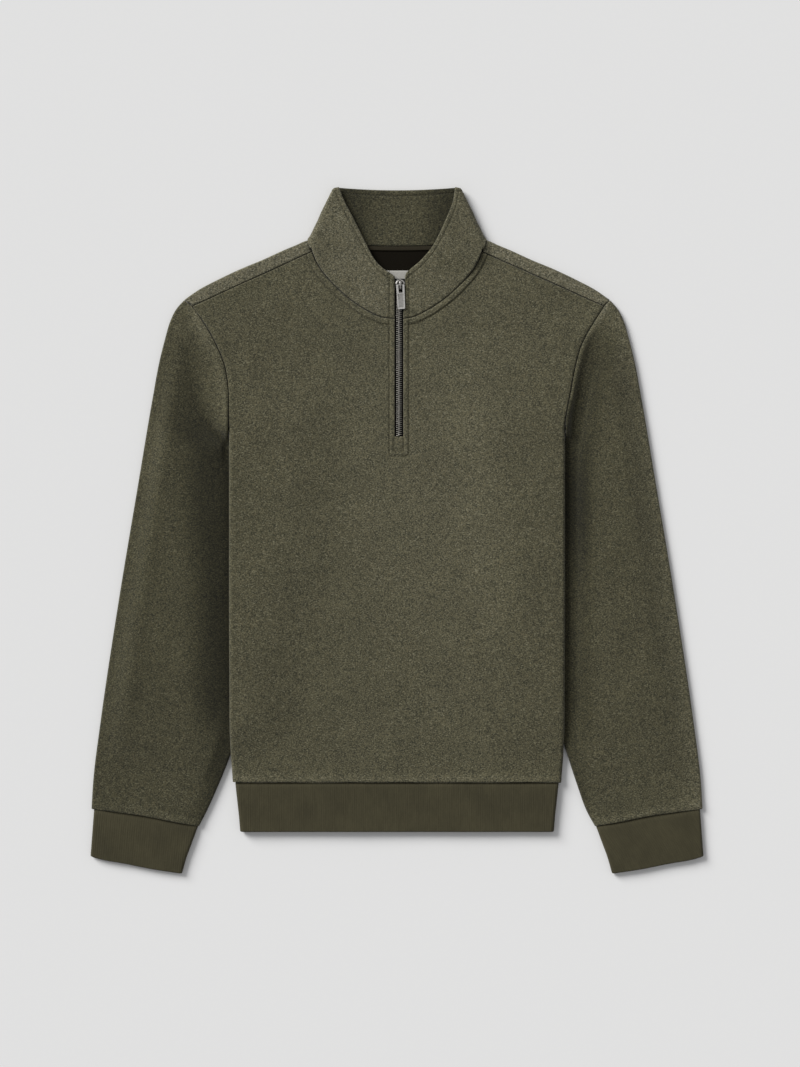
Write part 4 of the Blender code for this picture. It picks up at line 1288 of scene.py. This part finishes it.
def make_slider(looks):
    """The slider's body, its colour painted dark as painted shade under the pull, and on it the two
    arched lobes of its nose, its tip and the bridge that holds the pull."""
    flank = [(4.3, -5.0), (5.2, -1.0), (5.6, 2.0)]
    half = spline([*flank, (5.2, 4.6), (3.2, 7.0), (0.0, 8.2)], even(16))
    outline = np.concatenate([half, half[-2::-1] * [-1, 1]]) + [3.4, PIVOT[1]]
    sides = ((0, 5.4), (0.93, 5.4), (1.0, 5.9), (1.0, 7.9))
    levels = (*sides, (0.97, 8.5), (0.9, 8.9), (0.78, 9.05), (0, 9.1))
    # the slider's body in a colour that is painted shade
    body = mesh_piece("slider_cast", [prism(outline, levels)], looks["slider shade"], uv=False)
    replace(body, "zip_slider")
    arch = spline([(5.7, 0.9), (5.3, 3.2), (3.7, 5.3), (1.2, 6.3)], even(9))
    hollow = spline([(1.0, 4.9), (2.5, 4.0), (3.4, 2.7), (3.7, 0.9)], even(9))
    lobe = np.concatenate([arch, hollow])
    tip = np.array([(0.8, 6.0), (0.3, 7.9), (-0.6, 7.9), (-1.0, 6.0)])
    rounded = ((0, 8.6), (1.0, 8.6), (0.98, 9.1), (0.86, 9.45), (0.6, 9.62), (0, 9.66))
    flat = ((0, 8.2), (1.0, 8.2), (0.8, 9.5), (0, 9.7))
    shapes = ((lobe, rounded), ((lobe * [-1, 1])[::-1], rounded), (tip, flat))
    parts = [prism(shape + PIVOT[:2], levels) for shape, levels in shapes]
    crown = mesh_piece("slider_crown", [*parts, slider_bridge()], looks["slider metal"], uv=False)
    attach(crown, "garment")


def plate(name, outlines, low, high, edge, material):
    """A flat plate between two heights from closed outlines, the first its rim and the others its
    holes, with its edges softened."""
    curve = bpy.data.curves.new(name, "CURVE")
    curve.dimensions = "2D"
    curve.fill_mode = "BOTH"
    curve.extrude = ((high - low) / 2 - edge) * MM
    curve.bevel_depth = edge * MM
    curve.bevel_resolution = 2
    curve.offset = -edge * MM
    for outline in outlines:
        line = curve.splines.new("POLY")
        line.points.add(len(outline) - 1)
        flat = lifted(lifted(outline * MM, 0.0), 1.0)
        line.points.foreach_set("co", flat.astype(np.float32).ravel())
        line.use_cyclic_u = True
    holder = in_scene(name, curve)
    graph = bpy.context.evaluated_depsgraph_get()
    mesh = bpy.data.meshes.new_from_object(holder.evaluated_get(graph))
    bpy.data.objects.remove(holder)
    form = bmesh.new()
    form.from_mesh(mesh)
    bmesh.ops.remove_doubles(form, verts=form.verts, dist=1e-6)
    bmesh.ops.recalc_face_normals(form, faces=form.faces)
    bmesh.ops.translate(form, verts=form.verts, vec=(0, 0, (low + high) / 2 * MM))
    bmesh.ops.rotate(form, verts=form.verts, matrix=Matrix.Rotation(PULL_TURN, 3, "Z"))
    place = (PIVOT[0] * MM, (PIVOT[1] - CENTRE_Y) * MM, PIVOT[2] * MM)
    bmesh.ops.translate(form, verts=form.verts, vec=place)
    form.to_mesh(mesh)
    form.free()
    mesh.materials.clear()
    mesh.materials.append(material)
    mesh.shade_flat()
    return in_scene(name, mesh)


def tapered(low, high, radius):
    """A rounded rectangle narrowed evenly from the pull's top to its bottom."""
    top, bottom, share = PULL_TAPER
    x, y = rounded_rectangle(low, high, radius).T
    return plan_of(x * (1 + (share - 1) * (top - y) / (top - bottom)), y)


def make_pull(looks):
    """The pull: a frame round a thinner plate, with a window for the slider's bridge."""
    rim = tapered((-4.9, -28.2), (4.9, 0.65), 0.9)
    window = rounded_rectangle((-2.35, -9.0), (2.35, -0.05), 0.5)
    recess = tapered((-3.4, -26.3), (3.4, -10.2), 0.5)
    pull = plate("pull_frame", [rim, window, recess], -0.7, 0.7, 0.22, looks["zip metal"])
    replace(pull, "zip_pull", "pull")
    middle = tapered((-3.6, -26.5), (3.6, -10.0), 0.4)
    inlay = plate("pull_inlay", [middle], -0.3, 0.3, 0.05, looks["pull inlay"])
    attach(inlay, "pull")


# ---------------------------------------------------------------- materials


WAVE_SCALE = 0.314  # at which the Wave node makes one wave in a unit: pi / 10, rounded


class Value:
    """A socket of a material's node tree. Sums and products of values add Math nodes."""

    def __init__(self, tree, socket):
        self.tree = tree
        self.socket = socket

    def math(self, operation, other, turned=False):
        """A Math node on this value and another, or on them the other way round."""
        inputs = [other, self] if turned else [self, other]
        return self.tree.node("ShaderNodeMath", {"operation": operation}, dict(enumerate(inputs)))

    def __add__(self, other):
        return self.math("ADD", other)

    def __mul__(self, other):
        return self.math("MULTIPLY", other)

    def __sub__(self, other):
        return self.math("SUBTRACT", other)

    def __rsub__(self, other):
        return self.math("SUBTRACT", other, turned=True)

    __radd__ = __add__
    __rmul__ = __mul__


class Tree:
    """A new material and its nodes."""

    def __init__(self, name):
        self.material = bpy.data.materials.new(name)
        self.material.use_nodes = True
        self.nodes = self.material.node_tree.nodes
        self.links = self.material.node_tree.links
        self.shader = self.nodes["Principled BSDF"]

    def node(self, kind, settings=None, inputs=None, output=0):
        """Adds a node, with its settings first and then its sockets' values or links."""
        made = self.nodes.new(kind)
        for key, value in (settings or {}).items():
            setattr(made, key, value)
        for key, value in (inputs or {}).items():
            self.feed(made.inputs[key], value)
        return Value(self, made.outputs[output])

    def feed(self, socket, value):
        """Links a value to a socket, or sets the socket to a number or a colour."""
        if isinstance(value, Value):
            self.links.new(value.socket, socket)
        elif hasattr(value, "__len__") and len(value) == 3 and len(socket.default_value) == 4:
            socket.default_value = (*value, 1.0)
        else:
            socket.default_value = value

    def place(self, scale, turn=0.0, output="Object"):
        """Object or UV coordinates in metres times a scale along each axis."""
        coords = self.node("ShaderNodeTexCoord", output=output)
        settings = {0: coords, "Rotation": (0, 0, turn), "Scale": scale}
        return self.node("ShaderNodeMapping", {"vector_type": "POINT"}, settings)

    def noise(self, scale, detail=2.0, roughness=0.5, where=None):
        """Noise, 0 to 1, with this many cells per metre."""
        inputs = {"Scale": scale, "Detail": detail, "Roughness": roughness}
        inputs["Vector"] = where or self.node("ShaderNodeTexCoord", output="Object")
        return self.node("ShaderNodeTexNoise", {"noise_dimensions": "3D"}, inputs)

    def fibres(self, scale, detail, roughness, turn=0.0, output="Object"):
        """Noise with another number of cells per metre along each axis, turned round Z."""
        return self.noise(1.0, detail, roughness, self.place(scale, turn, output))

    def ribs(self, scale, turn=0.0, output="Object", settings=None, **inputs):
        """Waves across X, scale to the metre."""
        inputs = {"Vector": self.place(scale, turn, output), "Scale": WAVE_SCALE, **inputs}
        return self.node("ShaderNodeTexWave", {"bands_direction": "X", **(settings or {})}, inputs)

    def between(self, value, low, high):
        """0 where a value is below low, 1 above high, and smooth between."""
        settings = {"interpolation_type": "SMOOTHSTEP", "clamp": True}
        inputs = {"Value": value, "From Min": low, "From Max": high}
        return self.node("ShaderNodeMapRange", settings, inputs)

    def mix(self, share, first, second):
        """A colour between two colours."""
        inputs = {"Factor": share, 6: first, 7: second}
        return self.node("ShaderNodeMix", {"data_type": "RGBA"}, inputs, output=2)

    def scaled(self, colour, value, blue=None):
        """A colour made lighter or darker by a value, or by another value in blue."""
        grey = self.node("ShaderNodeCombineXYZ", {}, {0: value, 1: value, 2: blue or value})
        return self.node("ShaderNodeVectorMath", {"operation": "MULTIPLY"}, {0: colour, 1: grey})

    def bump(self, height, depth, strength=1.0):
        """A normal from a height in units of depth metres."""
        inputs = {"Strength": strength, "Distance": depth, "Height": height}
        return self.node("ShaderNodeBump", {}, inputs)

    def finish(self, colour, roughness, normal=None, **fixed):
        """Feeds the shader, sets its other sockets by name, and gives the material."""
        self.feed(self.shader.inputs["Base Color"], colour)
        self.feed(self.shader.inputs["Roughness"], roughness)
        if normal:
            self.feed(self.shader.inputs["Normal"], normal)
        for key, value in fixed.items():
            self.shader.inputs[key.replace("_", " ")].default_value = value
        return self.material


def fleece_material(colours, sizes):
    """Brushed marl fleece: dark and light fibres felted together, with a short nap. The nap attribute
    is painted light and shade: it makes the colour lighter where light falls and darker where shade
    lies, and takes more blue out of the darker places, so the painted shade is warmer."""
    t = Tree("brushed_marl_fleece")
    nap = t.node("ShaderNodeAttribute", {"attribute_name": "nap"}, output=2)
    grain = t.noise(640, 3.0, 0.65)
    fibre = t.fibres((430, 980, 600), 2.0, 0.6, turn=0.35)
    crossing = t.fibres((920, 400, 600), 2.0, 0.6, turn=1.1)
    clump = t.noise(150, 2.0, 0.55)
    cloud = t.noise(22, 2.0, 0.5)
    colour = t.mix(t.between(grain + 0.24 * clump, 0.49, 0.72), colours.fleece_dark, colours.fleece)
    colour = t.mix(t.between(fibre, 0.53, 0.67) * 0.95, colour, colours.fleece_light)
    colour = t.mix(t.between(crossing, 0.55, 0.70) * 0.6, colour, colours.fleece_ochre)
    colour = t.mix(t.between(1 - crossing, 0.56, 0.69) * 0.85, colour, colours.fleece_dark)
    # painted light and shade from the nap attribute, mottled by cloud, with warmer painted shade in
    # blue
    light = nap * (0.86 + 0.28 * cloud)
    colour = t.scaled(colour, light, light * (0.72 + 0.28 * nap))
    height = 0.5 * grain + 0.35 * clump + 0.3 * fibre + 0.3 * crossing
    normal = t.bump(height, sizes.nap * 1.6)
    soft = {"Sheen_Weight": 0.12, "Sheen_Roughness": 0.6, "Specular_IOR_Level": 0.15}
    return t.finish(colour, 0.93, normal, **soft)


def inside_material(colours):
    """The inner face of the fleece: smooth, dark loops, partly the inner face's own darker colour and
    partly painted shade of the hollow under the neck.
    """
    t = Tree("fleece_inside_with_painted_shade")
    loops = t.fibres((900, 500, 900), 1.0, 0.5)
    colour = t.mix(loops, colours.inside, lighter(colours.inside, 1.7))
    return t.finish(colour, 0.9, t.bump(loops, 0.0003), Specular_IOR_Level=0.1)


def rib_material(name, colours, sizes, output):
    """Fine rib: even ridges along the piece, with the small loops of the knit on them."""
    t = Tree(name)
    ridge = t.ribs((1 / sizes.rib_pitch, 0, 0), output=output, settings={"wave_profile": "SIN"})
    loops = t.fibres((500, 900, 500), 1.0, 0.5, output=output)
    cloud = t.noise(30, 2.0, 0.5)
    grain = t.noise(560, 3.0, 0.7)
    streak = t.between(t.fibres((420, 70, 70), 2.0, 0.6, output=output), 0.3, 0.7)
    colour = t.mix(0.10 * ridge + 0.60 * grain + 0.28 * streak, colours.rib_dark, colours.rib)
    colour = t.scaled(colour, 0.70 + 0.56 * cloud)
    normal = t.bump(0.22 * ridge + 0.35 * loops + 0.25 * grain, 0.0006)
    return t.finish(colour, 0.86, normal, Sheen_Weight=0.06, Specular_IOR_Level=0.2)


def weave_material(name, colour, light, pitch, depth=0.00025):
    """A plain or twill weave: diagonal ribs crossed by grain."""
    t = Tree(name)
    twill = t.ribs((1 / pitch, 1 / pitch, 1 / pitch), turn=0.9, Distortion=0.6)
    grain = t.noise(1100, 2.0, 0.6)
    mixed = t.mix(0.6 * twill + 0.4 * grain, colour, light)
    return t.finish(mixed, 0.8, t.bump(0.6 * twill + 0.4 * grain, depth), Specular_IOR_Level=0.2)


def metal_material(name, colour, dark, roughness, wear):
    """Cast and plated metal: a soft brushed grain, darker where handling and dirt have dulled
    it."""
    t = Tree(name)
    brushed = t.fibres((300, 3500, 900), 3.0, 0.6)
    patches = t.noise(420, 3.0, 0.6)
    colour = t.mix(t.between(patches, 0.42, 0.66) * wear, colour, dark)
    rough = roughness + 0.22 * patches + 0.1 * brushed
    return t.finish(colour, rough, t.bump(brushed, 0.00004), Metallic=1.0)


def floor_material(colours):
    """Plain matt paper."""
    t = Tree("studio_floor")
    paper = t.noise(160, 3.0, 0.5)
    return t.finish(t.scaled(colours.floor, 0.995 + 0.01 * paper), 0.85, Specular_IOR_Level=0.1)


# dark grey: tarnish in the worn patches of the slider's crown, and painted shade as the colour of the
# slider's body
TARNISH_AND_PAINTED_SHADE = (0.10, 0.10, 0.095)
# material, colour, colour where it is worn, roughness, wear
METALS = {
    "teeth": ("dark_zip_teeth", (0.36, 0.345, 0.31), (0.09, 0.085, 0.075), 0.3, 0.6),
    "slider metal": ("slider_silver", (0.52, 0.50, 0.47), TARNISH_AND_PAINTED_SHADE, 0.30, 0.6),
    # the slider's body: its colour is painted shade, darker still in worn patches
    "slider shade": ("silver_painted_in_shade", TARNISH_AND_PAINTED_SHADE, (0.03, 0.03, 0.028), 0.45, 0.6),
    "pull inlay": ("dull_silver", (0.40, 0.39, 0.37), (0.22, 0.215, 0.20), 0.42, 0.6),
}
LOOKS = {}


def lighter(colour, factor):
    """A colour times a factor."""
    return tuple(factor * channel for channel in colour)


def weave_looks(colours):
    """Tapes, label and thread: material, colour, lighter colour, pitch of the weave and depth of
    its relief."""
    zip_tape = ((0.004, 0.004, 0.0035), (0.012, 0.011, 0.010))
    return {
        "neck tape": ("neck_tape_twill", colours.tape, (0.027, 0.0218, 0.0102), 0.0011),
        "zip tape": ("zip_tape_weave", *zip_tape, 0.0009),
        "label": ("blank_label_weave", (0.33, 0.32, 0.29), colours.label, 0.0006, 0.0001),
        "thread": ("sewing_thread", colours.thread, lighter(colours.thread, 1.6), 0.0005),
    }


def looks_of(context):
    """All the materials, made once from the panel's sizes and colours."""
    if LOOKS:
        return LOOKS
    sizes, colours = context.scene.half_zip_sizes, context.scene.half_zip_colours
    LOOKS["fleece"] = fleece_material(colours, sizes)
    LOOKS["inside"] = inside_material(colours)
    LOOKS["band rib"] = rib_material("hem_band_rib_knit", colours, sizes, "Object")
    LOOKS["cuff rib"] = rib_material("cuff_rib_knit", colours, sizes, "UV")
    LOOKS["zip metal"] = metal_material("aged_silver", colours.metal, (0.22, 0.21, 0.20), 0.26, 0.45)
    LOOKS.update({look: weave_material(*values) for look, values in weave_looks(colours).items()})
    LOOKS.update({look: metal_material(*values) for look, values in METALS.items()})
    return LOOKS


# ---------------------------------------------------------------- the add-on


def length_property(name, description, default, least=0.001):
    """A length in metres."""
    return bpy.props.FloatProperty(
        name=name, description=description, default=default, min=least, unit="LENGTH"
    )


def colour_property(name, description, default):
    """A colour of three channels."""
    return bpy.props.FloatVectorProperty(
        name=name, description=description, default=default, size=3, subtype="COLOR", min=0.0, max=1.0
    )


class HalfZipSizes(bpy.types.PropertyGroup):
    """Sizes of the cloth and its trimmings."""

    fleece: length_property("Fleece", "Thickness of the fleece", 0.0024)
    rib: length_property("Rib", "Thickness of the doubled rib", 0.0026)
    collar: length_property("Collar", "Thickness of the doubled collar", 0.0039, 0.002)
    nap: length_property("Nap", "Depth of the brushed nap", 0.0009, 0.0)
    rib_pitch: length_property("Rib pitch", "From one rib to the next", 0.0026)
    stitch: length_property("Stitch", "Length of one stitch that shows", 0.0025)
    tooth_pitch: length_property("Tooth pitch", "From tooth to tooth in a row", 0.0024)


class HalfZipColours(bpy.types.PropertyGroup):
    """Colours of the cloth, thread and metal."""

    fleece: colour_property("Fleece", "Main colour of the fleece", (0.111, 0.102, 0.059))
    fleece_dark: colour_property("Dark fibres", "Darkest fibres of the marl", (0.034, 0.034, 0.020))
    fleece_light: colour_property("Light fibres", "Lightest fibres of the marl", (0.215, 0.202, 0.135))
    fleece_ochre: colour_property("Ochre fibres", "Warm fibres of the marl", (0.178, 0.150, 0.086))
    # inner face colour: partly its own darker colour, partly painted shade of the hollow under the
    # neck
    inside: colour_property("Inside", "Inner face of the fleece", (0.0040, 0.0030, 0.0014))
    rib: colour_property("Rib", "Ridges of the rib", (0.0635, 0.0565, 0.0302))
    rib_dark: colour_property("Rib valleys", "Valleys of the rib", (0.035, 0.031, 0.016))
    tape: colour_property("Neck tape", "Tape over the neck seam", (0.017, 0.0138, 0.0072))
    label: colour_property("Label", "Blank label", (0.44, 0.43, 0.40))
    thread: colour_property("Thread", "Topstitching thread", (0.056, 0.052, 0.033))
    metal: colour_property("Metal", "Slider and pull", (0.84, 0.82, 0.78))
    floor: colour_property("Floor", "Studio floor", (0.80, 0.80, 0.80))


class MakePiece:
    """What every operator shares: it makes its pieces from the panel's sizes and colours."""

    bl_options = {"REGISTER", "UNDO"}

    def execute(self, context):
        self.make(context.scene.half_zip_sizes, looks_of(context))
        return {"FINISHED"}


class HALFZIP_OT_front(MakePiece, bpy.types.Operator):
    """Front with its sides turned under and its slit for the zip"""

    bl_idname = "half_zip.front"
    bl_label = "Front"
    make = staticmethod(make_front)


class HALFZIP_OT_back(MakePiece, bpy.types.Operator):
    """Back, with its strips over the shoulders"""

    bl_idname = "half_zip.back"
    bl_label = "Back"
    make = staticmethod(make_back)


class HALFZIP_OT_sleeves(MakePiece, bpy.types.Operator):
    """Both sleeves, tucked under the body"""

    bl_idname = "half_zip.sleeves"
    bl_label = "Sleeves"
    make = staticmethod(make_sleeves)


class HALFZIP_OT_cuffs(MakePiece, bpy.types.Operator):
    """Both rib cuffs"""

    bl_idname = "half_zip.cuffs"
    bl_label = "Cuffs"
    make = staticmethod(make_cuffs)


class HALFZIP_OT_band(MakePiece, bpy.types.Operator):
    """Rib band at the hem"""

    bl_idname = "half_zip.band"
    bl_label = "Hem band"
    make = staticmethod(make_band)


class HALFZIP_OT_collar(MakePiece, bpy.types.Operator):
    """Stand collar, folded flat"""

    bl_idname = "half_zip.collar"
    bl_label = "Collar"
    make = staticmethod(make_collar)


class HALFZIP_OT_neck_trim(MakePiece, bpy.types.Operator):
    """Neck tape and blank label"""

    bl_idname = "half_zip.neck_trim"
    bl_label = "Neck tape and label"
    make = staticmethod(make_neck_trim)


class HALFZIP_OT_zip(MakePiece, bpy.types.Operator):
    """Zip tapes, teeth, slider and pull"""

    bl_idname = "half_zip.zip"
    bl_label = "Zip"
    make = staticmethod(make_zip)


class HALFZIP_OT_stitching(MakePiece, bpy.types.Operator):
    """Topstitching on front, shoulders and collar"""

    bl_idname = "half_zip.stitching"
    bl_label = "Topstitching"
    make = staticmethod(make_stitching)


def make_stage(scene):
    """Floor, one soft light from the upper left, an even sky, and the camera straight above."""
    around = ((-1, -1), (1, -1), (1, 1), (-1, 1))
    mesh = bpy.data.meshes.new("studio_floor")
    corners = [(x * FLOOR_HALF, y * FLOOR_HALF, FLOOR_Z) for x, y in around]
    mesh.from_pydata(corners, [], [(0, 1, 2, 3)])
    mesh.materials.append(floor_material(scene.half_zip_colours))
    floor = in_scene("studio_floor", mesh)
    sun = bpy.data.lights.new("softbox", "SUN")
    sun.energy = SUN_STRENGTH
    sun.angle = SUN_ANGLE
    sun.color = SUN_COLOUR
    in_scene("softbox", sun).rotation_euler = aim(SUN_FROM)
    world = bpy.data.worlds.new("studio")
    world.use_nodes = True
    sky = world.node_tree.nodes["Background"].inputs
    sky["Color"].default_value = SKY_COLOUR
    sky["Strength"].default_value = SKY_STRENGTH
    scene.world = world
    camera = bpy.data.cameras.new("camera")
    camera.lens = CAMERA_LENS
    camera.sensor_width = 36
    scene.camera = in_scene("camera", camera)
    scene.camera.location = CAMERA_AT
    scene.view_settings.view_transform = "Standard"
    scene.view_settings.look = "None"


def aim(source):
    """Rotation that points a lamp's -Z from a source direction to the origin."""
    x, y, z = unit(np.array(source))
    return (math.acos(z), 0.0, math.atan2(y, x) + math.pi / 2)


class HALFZIP_OT_stage(bpy.types.Operator):
    """Floor, light and camera"""

    bl_idname = "half_zip.stage"
    bl_label = "Stage"
    bl_options = {"REGISTER", "UNDO"}

    def execute(self, context):
        make_stage(context.scene)
        return {"FINISHED"}


OPERATORS = (
    HALFZIP_OT_front,
    HALFZIP_OT_back,
    HALFZIP_OT_sleeves,
    HALFZIP_OT_cuffs,
    HALFZIP_OT_band,
    HALFZIP_OT_collar,
    HALFZIP_OT_neck_trim,
    HALFZIP_OT_zip,
    HALFZIP_OT_stitching,
    HALFZIP_OT_stage,
)


class HALFZIP_PT_panel(bpy.types.Panel):
    """Sizes, colours and pieces of the sweatshirt"""

    bl_label = "Half Zip"
    bl_idname = "HALFZIP_PT_panel"
    bl_space_type = "VIEW_3D"
    bl_region_type = "UI"
    bl_category = "Half Zip"

    def draw(self, context):
        """A box for the sizes and one for the colours, then a button for each operator."""
        for group in (context.scene.half_zip_sizes, context.scene.half_zip_colours):
            box = self.layout.box()
            for name in group.__annotations__:
                box.prop(group, name)
        for operator in OPERATORS:
            self.layout.operator(operator.bl_idname)


CLASSES = (HalfZipSizes, HalfZipColours, *OPERATORS, HALFZIP_PT_panel)


def register():
    """Adds the classes to Blender and the two groups of properties to its scenes."""
    for item in CLASSES:
        bpy.utils.register_class(item)
    bpy.types.Scene.half_zip_sizes = bpy.props.PointerProperty(type=HalfZipSizes)
    bpy.types.Scene.half_zip_colours = bpy.props.PointerProperty(type=HalfZipColours)


def unregister():
    """Takes away what register added."""
    del bpy.types.Scene.half_zip_colours
    del bpy.types.Scene.half_zip_sizes
    for item in reversed(CLASSES):
        bpy.utils.unregister_class(item)


def main():
    register()
    for operator in OPERATORS:
        group, name = operator.bl_idname.split(".")
        getattr(getattr(bpy.ops, group), name)()
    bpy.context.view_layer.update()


if __name__ == "__main__":
    main()
